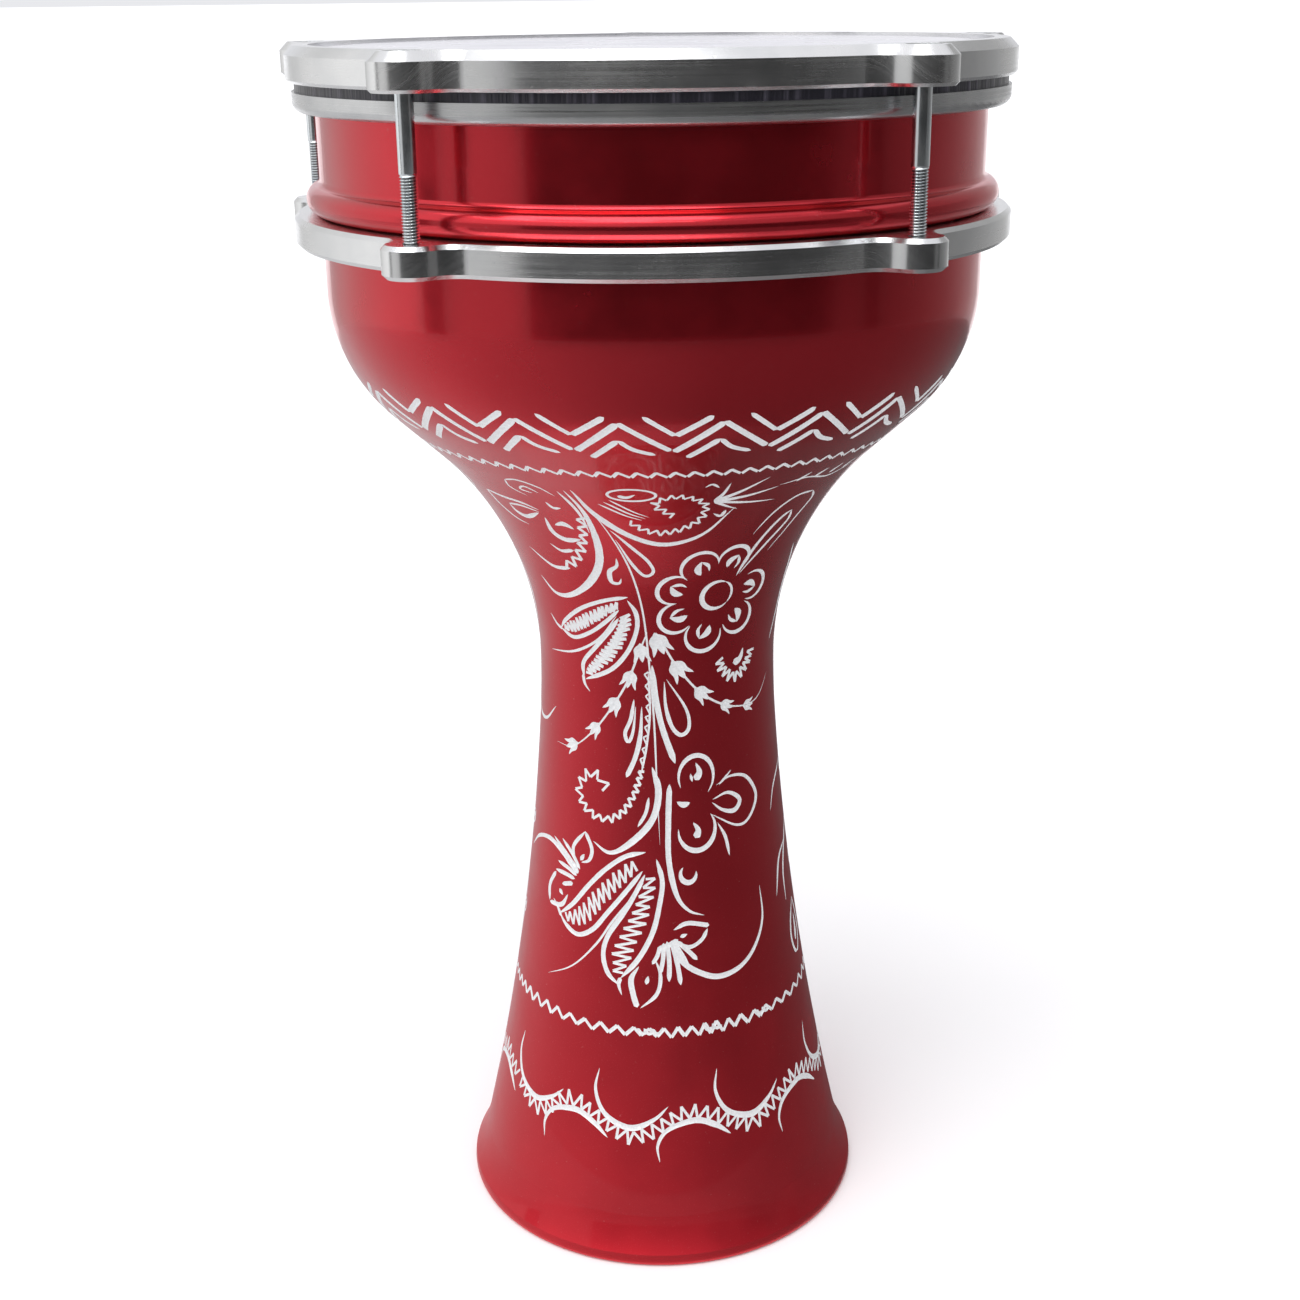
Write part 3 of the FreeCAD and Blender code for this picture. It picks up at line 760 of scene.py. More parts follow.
def leaf_pair_high():
    leaf([(-13.6, 232.6), (-24, 230.6), (-36, 226.4), (-47, 220.4), (-51, 217)],
         [(-18, 227.6), (-24.8, 222.8), (-33, 218.2), (-43, 215), (-51, 217)],
         1.5, 30, 1.1, [(-50, 216.6), (-54, 218), (-57.5, 221)])
    leaf([(-14, 231.4), (-10.8, 226.6), (-11, 220.6), (-15.4, 213), (-24, 206), (-38, 201)],
         [(-18.6, 224.6), (-23.4, 219.6), (-31.4, 213), (-38.8, 206.8), (-39, 201.4)],
         1.6, 32, 1.1, [(-39.6, 202.6), (-38.6, 199.4), (-35.6, 197)])
    draw([(-19.4, 225.4), (-28.8, 216.4), (-43.6, 210), (-62, 207.2)], 1.0, 0.3, 0.4)


def sprigs():
    sprig([(-6.4, 220), (-10, 213.4), (-16, 202.6), (-24, 193), (-34, 183.6), (-46, 176.4),
           (-58, 175.4)],
          [(-9.4, 213, 6, 7.2), (-15, 203.6, -16, 7.0), (-23, 194, -30, 7.0),
           (-33, 184.6, -38, 6.4), (-46.4, 176.8, -62, 6.6)], 0.8)
    sprig([(-2.6, 220), (6, 208.6), (17.5, 198.4), (31, 192), (45, 189.6), (55, 191), (64, 197)],
          [(-1.4, 216.4, 22, 8.8), (7.4, 206.8, 36, 8.4), (18.6, 197.6, 48, 7.2),
           (31.6, 191.8, 62, 5.8), (45.6, 189.4, 84, 5.6)], 0.8)
    zigzag([(27.6, 208), (30.4, 203.6), (37, 200.8), (44, 203.4), (48, 210)], 2.3, 3.4, 1.0)
    comma(spot(36, 205.6, -38), 6.0, 3.0)


def stems():
    draw([(-20.6, 266), (-16, 254.6), (-11.4, 242), (-8, 227.6), (-6, 210), (-4, 190), (-3, 170),
          (-1.8, 146.6)], 0.7, 0.2, 0.3)
    draw([(-4.6, 208.4), (-3.2, 198), (-0.2, 187), (5.6, 174.4)], 2.1, 0.14, 0.08)
    draw([(1, 202.6), (1.6, 194), (4.4, 187), (8.6, 184), (12.4, 186.4), (11, 193), (2, 203.4)],
         1.5, 0.3, 0.5)
    draw([(-13.2, 196.4), (-14.8, 189.6), (-17.6, 184.6), (-16, 181.6), (-13.8, 185.4),
          (-12.4, 194)], 1.4, 0.15, 0.5)
    draw([(-9.6, 194), (-10.4, 184), (-12.8, 176.4), (-17, 169.4)], 1.8, 0.5, 0.06)
    draw([(-6.4, 206), (-5.8, 192.4), (-7.4, 181), (-10, 171)], 0.8, 0.1, 0.1)
    zigzag([(-7.2, 206), (-6.6, 192.4), (-8.2, 181), (-10.4, 172)], 3.6, 1.5, 0.6, slant=0.3)
    zigzag([(-10, 172), (-12.4, 165.4), (-17, 158.8), (-24.5, 154.2), (-35, 155.2), (-41.6, 161.2),
            (-38, 167.8), (-30.4, 168.6), (-26.4, 164)], 2.3, 1.8, 0.95, grow=0.9, slant=0.35)
    draw([(-5, 173.4), (-2.2, 165), (-5, 155.4), (-14, 147.4), (-24, 142.6), (-32.6, 145.4)],
         2.4, 0.12, 0.35)
    draw([(-6.6, 163), (-8, 157.6), (-11.6, 152.6)], 1.3, 0.2, 0.2)
    draw([(2.8, 167.4), (2, 154), (2, 141), (5, 129), (10, 123.2), (16.6, 120.8)],
         2.1, 0.05, 0.35)


def half_flower():
    cut(spot(15.4, 169)(arc(6.0, 205, -50, 11, 1.25)), 1.7, 0.35, 0.4)
    comma(spot(14.8, 168, 0), 6.0, 2.8)
    draw([(13.4, 167.6), (12.6, 170.4)], 1.3, 0.5, 0.5)
    draw([(25, 165), (33, 167), (42.6, 164.8), (48.6, 157), (43, 150.4), (35, 149.4), (22, 155.4)],
         1.5, 0.35, 0.5)
    draw([(23, 160.4), (31, 161.6), (37.6, 158), (34.4, 154.8), (28, 156), (22.6, 159.4)],
         1.9, 0.5, 0.4)
    cut(spot(15, 151)(arc(6.4, 175, 400, 11, 1.15)), 1.9, 0.35, 0.4)
    comma(spot(14.2, 148, 10), 5.6, 2.9)
    draw([(6, 161.2), (9, 160), (12, 160.6)], 2.6, 0.5, 0.4)
    draw([(26.6, 165), (33.4, 169)], 1.0, 0.3, 0.5)
    draw([(25, 152), (28.6, 146.4), (30.2, 139.6)], 1.3, 0.4, 0.25)
    cut(spot(10.4, 136)(arc(2.7, 130, 372, 9, 1.15)), 2.0, 0.4, 0.4)


def leaf_pair_low():
    leaf([(-8, 144), (-17, 142), (-26, 136.6), (-34, 129.6), (-42, 121.2), (-49, 116)],
         [(-9.4, 137.4), (-16.6, 129.8), (-24.6, 121.4), (-31, 114.6), (-38, 111.2), (-44.4, 112.8),
          (-49, 116)],
         1.8, 27, 0.95, [(-48, 115), (-50.6, 117.6), (-54, 120)])
    leaf([(-3.4, 141.6), (-1, 134), (-2.2, 126), (-5.2, 116), (-11, 106.6), (-18, 99.4)],
         [(-8.4, 136.2), (-12, 130.2), (-17.6, 122), (-23.8, 113.8), (-25.8, 107), (-23.6, 100.6),
          (-18.6, 96.8)],
         1.9, 23, 0.95, [(-18, 99.6), (-18.8, 97), (-17.4, 93.4)])
    draw([(-9, 133.2), (-16.6, 125), (-22.8, 118), (-29.4, 109.4), (-40, 99.5), (-53, 92.8)],
         0.9, 0.3, 0.5)


def tassel_left():
    for root, tip, width in (
        ((-39, 134.2), (-50.6, 142.6), 1.5), ((-39.6, 133.2), (-56.6, 141.8), 1.5),
        ((-40.6, 131.6), (-52.6, 134), 1.6), ((-41.6, 130.2), (-53.8, 130.6), 1.6),
        ((-42.6, 128.4), (-49, 126.6), 1.7), ((-40, 132.4), (-46.6, 137), 1.8),
    ):
        bent(root, tip, (1, 0.3), width, 0.12, 0.25)
    draw([(-40.4, 132.2), (-49.6, 137.6), (-60, 140), (-71.6, 137.4), (-81, 131)], 1.9, 0.15, 0.5)
    draw([(-42.6, 137), (-43.2, 141.8), (-37, 148)], 1.5, 0.1, 0.3)
    draw([(-37, 148), (-33.2, 142.6), (-34.4, 138.4), (-38.4, 136.8)], 1.6, 0.1, 0.3)
    draw([(-39, 137.4), (-37, 140)], 1.8, 0.3, 0.6)
    draw([(-53.6, 129.8), (-57.4, 124), (-56.6, 118.4)], 1.7, 0.1, 0.2)
    draw([(-56.4, 118), (-48.6, 119.2), (-45, 123.8)], 1.8, 0.1, 0.4)
    draw([(-50.6, 124.4), (-48, 122.8)], 1.8, 0.3, 0.6)


def tassel_right():
    for root, tip, width in (
        ((4.8, 112.8), (12.8, 105.6), 1.7), ((3.2, 113), (9.4, 102.6), 1.7),
        ((2.4, 113.2), (5.8, 97.4), 1.8), ((0.6, 113), (1.2, 98.8), 1.7),
        ((-0.8, 112.4), (-2.4, 101.4), 1.6), ((-2.2, 111.4), (-5.4, 105), 1.5),
        ((-2.8, 110.4), (5.2, 113.4), 2.0),
    ):
        bent(root, tip, (0.5, -0.2), width, 0.1, 0.12)
    draw([(1.8, 112.6), (6.8, 105.4), (14, 100.8), (22, 98.4), (32, 99.9), (40.4, 105.2),
          (46, 113.6), (46, 125)], 2.1, 0.1, 0.6)
    draw([(3.4, 116.8), (9.4, 118.8), (18.6, 117)], 1.7, 0.25, 0.03)
    draw([(17.8, 116), (15, 112.4), (10, 110.4), (5.6, 112.2)], 1.5, 0.15, 0.3)
    draw([(6, 114.2), (9, 115)], 1.6, 0.3, 0.6)
    draw([(-10.8, 104), (-13.8, 99.3), (-12.7, 93.6), (-11.2, 89.6)], 2.1, 0.35, 0.03)
    draw([(-10, 89.4), (-3.6, 94.6), (-2.2, 101.2), (-4.4, 107)], 1.5, 0.3, 0.35)
    draw([(-7.8, 97.8), (-7, 100.8)], 1.7, 0.3, 0.5)


def side_fill():
    """What joins the front panel to the one behind it, seen at the drum's left and right."""
    draw([(-86, 184), (-80, 180.4), (-70, 181), (-60, 187.4)], 1.4, 0.2, 0.6)
    bell(spot(-86, 206, 200), 7)
    draw([(-88, 214), (-85, 200), (-88, 186)], 1.0, 0.3, 0.3)
    draw([(74, 133), (64, 129), (58, 117)], 1.4, 0.3, 0.4)
    draw([(80, 162), (66, 156), (60, 148)], 1.2, 0.3, 0.5)
    draw([(88, 140), (76, 134), (68, 124), (67, 112)], 1.6, 0.3, 0.4)
    cups = spot(84, 236), spot(84, 224, 180)
    for cup in cups:
        cut(cup(arc(7, 200, -20, 10)), 1.6, 0.35, 0.35)
    for cup in cups:
        comma(cup, 6, 2.6)
    petal_loop(spot(70, 262, 20), 15, 8, 1.2)
    petal_loop(spot(-72, 262, -20), 15, 8, 1.2)
    petal_loop(spot(76, 110, 170), 20, 10, 1.6)
    draw([(62, 243), (70, 232), (72, 218), (66, 208)], 2.2, 0.4, 0.4)
    draw([(98, 210), (103, 222), (103, 236), (98, 248)], 2.0, 0.4, 0.4)
    comma(spot(92, 250, 24), 8, 2.6)
    comma(spot(78, 250, -30), 8, 2.6)
    draw([(90, 90), (93, 106), (91, 124), (94, 142), (91, 160), (93, 174)], 1.4, 0.1, 0.3)
    for degrees, height, turn, length in ((92, 102, -26, 7), (92, 118, 44, 10),
                                          (93, 137, -26, 7), (91, 154, 44, 10)):
        petal_loop(spot(degrees, height, turn), length, 0.52 * length, 1.0)


def engrave():
    for part in (shoulder_band, saw_band, border_band, scallop_band, top_left, top_middle,
                 top_right, big_flower, leaf_pair_high, sprigs, stems, half_flower,
                 leaf_pair_low, tassel_left, tassel_right, side_fill):
        part()


# -------- shell and engraving


DRAW_R = 60.0  # radius at which the wall is unrolled for triangulating
CUT_DEPTH = 0.42  # share of a stroke's half width that its middle is sunk by
ORNAMENT_Z = (28.0, 312.0)
ROW_STEP = 4.0
MARGIN = 16.0  # strokes this far beyond the tile still shape its triangles
MERGE = 1e-4  # points closer than this are one
NEAR = 1.6  # a stroke sinks points within this many of its greatest half width


def ribbon(stroke):
    """Left edge, spine and right edge of a stroke, in unrolled millimetres."""
    rows = []
    for i, (angle, s, half) in enumerate(stroke):
        a, b = stroke[max(i - 1, 0)], stroke[min(i + 1, len(stroke) - 1)]
        r = WAIST.radius(s)
        way = Vector(((b[0] - a[0]) * r, b[1] - a[1])).normalized()
        step = (-way.y * half / r, way.x * half)
        rows.append([
            ((angle + side * step[0]) * DRAW_R, s + side * step[1]) for side in (1, 0, -1)
        ])
    return rows


def tile_mesh():
    """Triangulates half a turn of the wall with the strokes in it.

    Returns points (angle, s), triangles and which of them are engraved.
    """
    low, high = (WAIST.along(z) for z in ORNAMENT_Z)
    edge = pi / 2 * DRAW_R
    points, edges, faces = [], [], []
    rows = max(2, round((high - low) / ROW_STEP))
    columns = COLUMNS // 2
    grid = [
        [(-edge + 2 * edge * i / columns, low + (high - low) * j / rows)
         for i in range(columns + 1)]
        for j in range(rows + 1)
    ]
    for j, line in enumerate(grid):
        for i, p in enumerate(line):
            points.append(p)
            here = len(points) - 1
            if i and j in (0, rows):
                edges.append((here - 1, here))
            if j and i in (0, columns):
                edges.append((here - columns - 1, here))
    for stroke in STROKES:
        base = ribbon(stroke)
        for shift in (-2 * edge, 0, 2 * edge):
            xs = [p[0] + shift for row in base for p in row]
            if max(xs) < -edge - MARGIN or min(xs) > edge + MARGIN:
                continue
            first = len(points)
            points += [(p[0] + shift, p[1]) for row in base for p in row]
            last = len(points) - 3
            edges += [(i, i + 3) for i in range(first, last)]
            edges += [(i, i + 1) for end in (first, last) for i in (end, end + 1)]
            for i in range(first, last, 3):
                faces += [(i, i + 1, i + 3), (i + 1, i + 4, i + 3),
                          (i + 1, i + 2, i + 4), (i + 2, i + 5, i + 4)]
    found = delaunay_2d_cdt([Vector(p) for p in points], edges, [], 0, MERGE, False)
    spots, triangles = found[0], found[2]
    kept, centres = [], []
    for tri in triangles:
        centre = sum((spots[i] for i in tri), Vector((0, 0))) / 3
        if abs(centre.x) < edge and low < centre.y < high:
            kept.append(tri)
            centres.append(centre)
    tree = kdtree.KDTree(len(centres))
    for i, centre in enumerate(centres):
        tree.insert((*centre, 0), i)
    tree.balance()
    engraved = [False] * len(kept)
    for face in faces:
        a, b, c = (Vector(points[i]) for i in face)
        middle = (a + b + c) / 3
        for _, i, _ in tree.find_range((*middle, 0), max((p - middle).length for p in (a, b, c))):
            if not engraved[i] and inside(centres[i], a, b, c):
                engraved[i] = True
    return [(p.x / DRAW_R, p.y) for p in spots], kept, engraved


def inside(p, a, b, c):
    """Whether p is in the flat triangle a, b, c, whichever way round that is."""
    sides = [(v - u).cross(p - u) for u, v in ((a, b), (b, c), (c, a))]
    return min(sides) >= 0 or max(sides) <= 0


def depths(points):
    """How far each point is sunk: the deepest that any stroke near it reaches."""
    spines = [(a, s, h) for stroke in STROKES for a, s, h in stroke]
    spines = [(a + t, s, h) for a, s, h in spines for t in (-pi, 0, pi)]
    tree = kdtree.KDTree(len(spines))
    for i, (a, s, h) in enumerate(spines):
        tree.insert((a * DRAW_R, s, 0), i)
    tree.balance()
    reach = max(h for _, _, h in spines) * NEAR
    found = []
    for angle, s in points:
        deepest, r = 0.0, WAIST.radius(s)
        for _, i, _ in tree.find_range((angle * DRAW_R, s, 0), reach):
            a, t, half = spines[i]
            gap = hypot((a - angle) * r, t - s)
            deepest = max(deepest, CUT_DEPTH * (half - gap))
        found.append(deepest)
    return found


def make_shell():
    """(points, faces, corner normals) of the plain wall and of the strokes cut into it."""
    engrave()
    spots, triangles, engraved = tile_mesh()
    used = sorted({i for tri in triangles for i in tri})
    sunk = dict(zip(used, depths([spots[i] for i in used])))
    groups = {False: ([], [], []), True: ([], [], [])}
    for cut_in, (points, faces, normals) in groups.items():
        index = {}
        for half in (0, pi):
            for tri, is_cut in zip(triangles, engraved):
                if is_cut != cut_in:
                    continue
                face = []
                for i in tri:
                    angle, s = spots[i]
                    angle += half
                    spot_key = (round(sin(angle), 6), round(cos(angle), 6), round(s, 4))
                    if spot_key not in index:
                        index[spot_key] = len(points)
                        points.append(WAIST.point(angle, s, sunk[i]))
                    face.append(index[spot_key])
                    if not cut_in:
                        normals.append(WAIST.normal(angle, s))
                if len(set(face)) == 3:
                    faces.append(face)
                elif not cut_in:
                    del normals[-3:]
    return groups[False], groups[True]


plain, carved = make_shell()
engraving = make_object("shell_engraving", carved[0], carved[1], BARE)
ornament_wall = make_object("shell_waist", plain[0], plain[1], LACQUER, plain[2])


SECTION_ROWS, BEND_ROWS = 24, 10
# The foot's crease is a soft bend from RIM_TOP to CREASE_RISE above the crease.
RIM_TOP, CREASE_RISE, CREASE_SHIFT = 4.5, 7.0, (0.25, 0.2)


def as_spans(rows):
    return [(a[0], b[0], a[1], b[1]) for a, b in pairwise(rows)]


def section_between(low, high):
    """The waist's section between two heights, as spans."""
    rows = []
    for s in np.linspace(WAIST.along(low), WAIST.along(high), SECTION_ROWS):
        r, z, nr, nz = WAIST.at(s)
        rows.append((Vector((r, z)), Vector((nr, nz))))
    return as_spans(rows)


def eased(start, corner, end):
    """A soft bend from start to end, as spans, with the normal on the right."""
    rows = []
    for i in range(BEND_ROWS + 1):
        t = i / BEND_ROWS
        p = start.lerp(corner, t).lerp(corner.lerp(end, t), t)
        way = (corner - start).lerp(end - corner, t).normalized()
        rows.append((p, Vector((way.y, -way.x))))
    return as_spans(rows)


rim = trace(foot_steps, radians(4))
flare = section_between(CREASE[1] + CREASE_RISE, ORNAMENT_Z[0])
rim_end = next(i for i, span in enumerate(rim) if span[1].y > RIM_TOP)
crease = eased(rim[rim_end][1], Vector(CREASE) + Vector(CREASE_SHIFT), flare[0][0])
outer = lathe("shell_outer", rim[: rim_end + 1] + crease + flare, LACQUER)
upper = lathe(
    "shell_collar",
    section_between(ORNAMENT_Z[1], bowl_top[1]) + trace(collar_steps),
    LACQUER,
)
bore = lathe("shell_bore", trace(bore_steps), BORE)

for piece in (outer, upper):
    piece.select_set(True)
bpy.context.view_layer.objects.active = ornament_wall
ornament_wall.select_set(True)
with bpy.context.temp_override(
    active_object=ornament_wall, selected_editable_objects=[ornament_wall, outer, upper]
):
    bpy.ops.object.join()
ornament_wall.name = "shell_lacquered"

for piece, slot in ((ornament_wall, "red_lacquer"), (engraving, "cast_aluminium"),
                    (bore, "cast_aluminium")):
    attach(piece, "drum")
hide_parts("shell")

# -------- screws

SCREW_R, SCREW_HEAD, SCREW_COLUMNS = 2.5, 5.0, 32
THREAD_PITCH, THREAD_LENGTH, THREAD_DEPTH = 0.8, 25.0, 0.48
CREST_R = SCREW_R - 0.04
FADE_IN, FADE_OUT = 1.2, 1.0  # lengths over which the thread comes and goes
POINT_LENGTH, POINT_DEPTH = 0.8, 0.5  # the chamfer at the tip
KNURL_DEPTH, THREAD_ROWS = 0.07, 8
SOCKET_FLAT, SOCKET_DEPTH, SOCKET_POINT = 2.0, 2.5, 3.1


def screw_mesh(name, node):
    """A knurled socket-head screw with a thread, where the CAD's plain one stands."""
    low, high = box_mm(node)
    axis_x, axis_y = (low.x + high.x) / 2, (low.y + high.y) / 2
    tip, top = low.z, high.z
    head_r = (high.x - low.x) / 2
    seat = top - SCREW_HEAD
    points, faces = [], []

    def ring(z, radius):
        """A row of points. radius is a number or a function of the turn."""
        first = len(points)
        for i in range(SCREW_COLUMNS):
            a = TURN * i / SCREW_COLUMNS
            r = radius(a) if callable(radius) else radius
            points.append((axis_x + r * cos(a), axis_y + r * sin(a), z))
        return first

    def thread(z):
        """A triangular ridge that climbs one pitch a turn, to the right, faded at both ends."""
        fade = min(1, (z - tip) / FADE_IN, (tip + THREAD_LENGTH - z) / FADE_OUT)
        point = POINT_DEPTH * max(0, 1 - (z - tip) / POINT_LENGTH)

        def radius(a):
            phase = ((z - tip) / THREAD_PITCH - a / TURN) % 1
            groove = THREAD_DEPTH * min(1, 1.25 * abs(2 * phase - 1))
            return CREST_R - groove * max(fade, 0) - point

        return radius

    def knurled(a):
        return head_r - KNURL_DEPTH * (0.5 + 0.5 * cos(SCREW_COLUMNS // 2 * a))

    def hexagon(a):
        return SOCKET_FLAT / cos((a + pi / 6) % (pi / 3) - pi / 6)

    rows = []
    steps = int(THREAD_LENGTH / THREAD_PITCH * THREAD_ROWS)
    for k in range(steps + 1):
        z = tip + THREAD_LENGTH * k / steps
        rows.append(ring(z, thread(z)))
    for z, radius in (
        (seat - 0.3, SCREW_R - 0.02), (seat, SCREW_R + 0.2), (seat, head_r - 0.25),
        (seat + 0.25, knurled), (top - 0.7, knurled), (top - 0.2, head_r - 0.12),
        (top, head_r - 0.5), (top, lambda a: hexagon(a) + 0.15), (top - 0.15, hexagon),
        (top - SOCKET_DEPTH, hexagon), (top - SOCKET_POINT, 0.25),
    ):
        rows.append(ring(z, radius))
    for one, two in pairwise(rows):
        for i in range(SCREW_COLUMNS):
            j = (i + 1) % SCREW_COLUMNS
            faces.append([one + i, one + j, two + j, two + i])
    faces.append([rows[0] + i for i in reversed(range(SCREW_COLUMNS))])
    faces.append([rows[-1] + i for i in range(SCREW_COLUMNS)])
    screw = make_object(name, points, faces, ZINC)
    mesh = screw.data
    mesh.materials.append(ZINC_PAINTED_GROOVE_SHADE)
    # Faces deep in the thread's groove take the darker zinc: painted shade in the thread's roots.
    for face in mesh.polygons:
        x, y, z = face.center / MM
        reach = hypot(x - axis_x, y - axis_y)
        sunk = CREST_R - reach > 0.6 * THREAD_DEPTH
        face.material_index = int(sunk and tip + 1 < z < tip + THREAD_LENGTH)
    mesh.shade_smooth()
    bpy.context.view_layer.objects.active = screw
    with bpy.context.temp_override(object=screw, active_object=screw,
                                   selected_editable_objects=[screw]):
        bpy.ops.object.shade_smooth_by_angle(angle=radians(32))
    return screw


for k in range(1, LUGS + 1):
    node = f"tension_screw_{k}"
    screw = screw_mesh(f"screw_{k}_threaded", node)
    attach(screw, f"screw_{k}")
    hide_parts(node)

# -------- CAD pieces kept as they are

for node, material in (
    ("tension_ring", CAST),
    ("anchor_ring", CAST),
    ("flesh_hoop", ROLLED),
    ("hoop_resin", RESIN_WITH_PAINTED_SHADE),
    ("head_film", FILM),
    *((f"screw_washer_{k}", ZINC) for k in range(1, LUGS + 1)),
):
    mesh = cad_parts[node].data
    mesh.materials.clear()
    mesh.materials.append(material)

# -------- stage


def floor_material():
    s = Shader("pale_floor", Roughness=0.75, Specular_IOR_Level=0.0)
    s.tint(s.noise(3.0, 4.0), grey(0.86), grey(0.89))
    return s.material


FLOOR_REACH = 300000.0
floor = make_object(
    "floor",
    [(-FLOOR_REACH, -FLOOR_REACH, 0), (FLOOR_REACH, -FLOOR_REACH, 0),
     (FLOOR_REACH, FLOOR_REACH, 0), (-FLOOR_REACH, FLOOR_REACH, 0)],
    [[0, 1, 2, 3]],
    floor_material(),
    smooth=False,
)


def sun(name, towards, strength, spread):
    """A far light. spread is its width in degrees."""
    data = bpy.data.lights.new(name, "SUN")
    data.energy, data.angle = strength, radians(spread)
    light = bpy.data.objects.new(name, data)
    light.rotation_euler = Vector(towards).to_track_quat("-Z", "Y").to_euler()
    bpy.context.scene.collection.objects.link(light)


# The studio's screens stand round the drum in two rows, with lamps inside them, and two dark mats
# lie on the floor. None of them is seen by the camera or by shadow and diffuse rays, so they show
# only in
# reflections: the mats are painted shade of the floor in the drum's reflections, while the floor
# that is seen stays pale. Each stop is (degrees from the front, brightness of the screen or lamp,
# or greyness of the mat).
SCREEN_R, SCREEN_LOW, SCREEN_SPLIT, SCREEN_HEIGHT = 1400.0, 2.0, 660.0, 1500.0
LAMP_RIMS = [(1020, 1340), (920, 1470)]
MAT_LEVEL, NEAR_MAT_R, MAT_R = 1.0, 71.0, 180.0
SCREEN_STOPS = [
    (-150, 0.50), (-130, 0.72), (-84, 1.0), (-82, 0.08), (-75, 0.08), (-73, 0.62), (-43, 0.50),
    (-41, 0.05), (0, 0.025), (50, 0.025), (57, 0.06), (59, 0.12), (70, 0.14), (71, 0.05),
    (76, 0.05), (77, 0.14), (100, 0.20), (115, 0.26), (135, 0.42), (150, 0.62),
]
UPPER_STOPS = [(-150, 0.60), (-110, 0.9), (-60, 1.15), (-25, 0.95), (0, 0.62), (22, 0.50),
               (50, 0.42), (87, 0.28), (150, 0.40)]
NEAR_SHADE_MAT_STOPS = [(-170, 0.5), (-90, 0.56), (-40, 0.54), (-10, 0.40), (10, 0.32), (30, 0.24),
                  (60, 0.15), (160, 0.13)]
SHADE_MAT_STOPS = [(-170, 0.44), (-90, 0.50), (-60, 0.37), (-30, 0.24), (-10, 0.18), (20, 0.12),
             (60, 0.10), (160, 0.12)]
LAMP_STOPS = [
    (-95, 3.0), (-72, 3.0), (-70, 0.6), (-64, 0.6), (-62, 5.0), (-50, 5.0), (-48, 0.6), (-28, 0.6),
    (-26, 4.0), (-3, 4.0), (-1, 0.4), (60, 0.4),
]


def turned_ramp(shader, stops):
    """Grey levels by degrees from the front, round the drum's axis."""
    low, high = stops[0][0], stops[-1][0]
    x, y, _ = shader.parts()
    turn = shader.math("DEGREES", shader.math("ARCTAN2", x, shader.math("MULTIPLY", y, -1.0)))
    ramp = shader.node("ShaderNodeValToRGB", shader.span(turn, low, high))
    marks = ramp.color_ramp.elements
    while len(marks) < len(stops):
        marks.new(1.0)
    for mark, (degrees, level) in zip(marks, stops):
        mark.position = (degrees - low) / (high - low)
        mark.color = grey(level)
    return ramp.outputs[0]


def stage_band(name, stops, rims, material):
    """A band round part of the drum between two (r, z) rims, unseen by the camera."""
    points, faces = [], []
    for degrees in range(stops[0][0], stops[-1][0] + 1):
        points += [ring_point(r, z, radians(degrees)) for r, z in rims]
    for i in range(stops[-1][0] - stops[0][0]):
        faces.append([2 * i, 2 * i + 1, 2 * i + 3, 2 * i + 2])
    made = make_object(name, points, faces, material)
    made.visible_camera = made.visible_shadow = made.visible_diffuse = False


def glowing_band(name, stops, rims):
    peak = max(level for _, level in stops)
    s = Shader(name, Roughness=1.0, Specular_IOR_Level=0.0, Emission_Strength=peak)
    s.surface.inputs["Base Color"].default_value = grey(0.0)
    s.set("Emission Color", turned_ramp(s, [(at, level / peak) for at, level in stops]))
    stage_band(name, stops, rims, s.material)


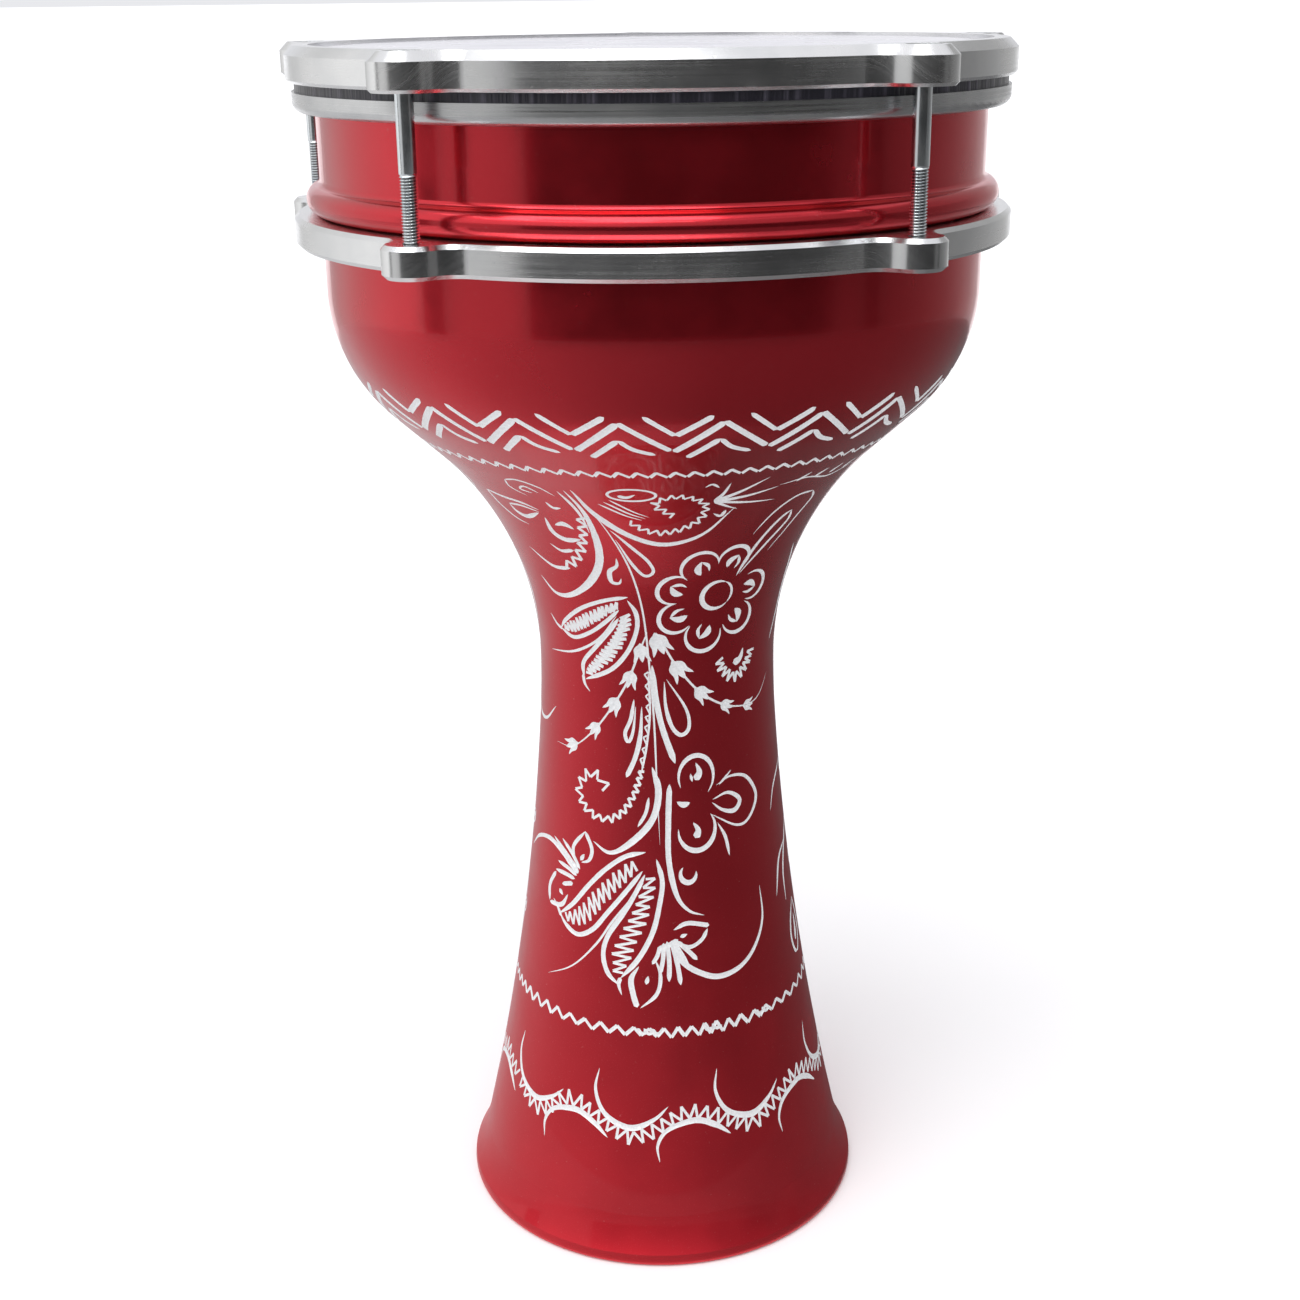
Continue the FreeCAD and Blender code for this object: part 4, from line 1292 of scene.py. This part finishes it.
# A dark sheet seen only in reflections: painted shade of the floor, by degrees round the drum.
def reflected_shade_mat(name, stops, inner, outer):
    s = Shader(name, Roughness=0.9, Specular_IOR_Level=0.1)
    s.set("Base Color", turned_ramp(s, stops))
    stage_band(name, stops, [(inner, MAT_LEVEL), (outer, MAT_LEVEL)], s.material)


glowing_band("studio_screens", SCREEN_STOPS, [(SCREEN_R, SCREEN_LOW), (SCREEN_R, SCREEN_SPLIT)])
glowing_band("studio_upper_screens", UPPER_STOPS,
             [(SCREEN_R, SCREEN_SPLIT), (SCREEN_R, SCREEN_HEIGHT)])
glowing_band("studio_lamps", LAMP_STOPS, LAMP_RIMS)
reflected_shade_mat("studio_reflected_shade_mat", SHADE_MAT_STOPS, MAT_R, SCREEN_R)
reflected_shade_mat("studio_near_reflected_shade_mat", NEAR_SHADE_MAT_STOPS, NEAR_MAT_R, MAT_R)
sun("high_front", (0.30, 0.55, -1), 2.2, 60)

world = bpy.data.worlds.new("studio")
world.use_nodes = True
bpy.context.scene.world = world
sky = world.node_tree.nodes["Background"].inputs
sky["Color"].default_value = (0.96, 0.965, 1.0, 1)
sky["Strength"].default_value = 0.85

# -------- camera

CAMERA_AZIMUTH = radians(-2.11)
CAMERA_OUT, CAMERA_UP = 0.5787, 0.40835  # metres from the axis and above the floor
LOOK_DOWN, LOOK_ASIDE, ROLL = (radians(a) for a in (19.876, -0.243, -0.686))


def make_camera():
    data = bpy.data.cameras.new("camera")
    data.lens = 50
    data.sensor_width = 36
    camera = bpy.data.objects.new("camera", data)
    camera.location = ring_point(CAMERA_OUT, CAMERA_UP, CAMERA_AZIMUTH)
    level = Vector((sin(LOOK_ASIDE), cos(LOOK_ASIDE), 0))
    level.rotate(Matrix.Rotation(CAMERA_AZIMUTH, 3, "Z"))
    ahead = level * cos(LOOK_DOWN) - Vector((0, 0, sin(LOOK_DOWN)))
    aim = ahead.to_track_quat("-Z", "Y").to_matrix()
    camera.rotation_euler = (aim @ Matrix.Rotation(ROLL, 3, "Z")).to_euler()
    bpy.context.scene.collection.objects.link(camera)
    bpy.context.scene.camera = camera


make_camera()
bpy.context.scene.view_settings.view_transform = "Standard"
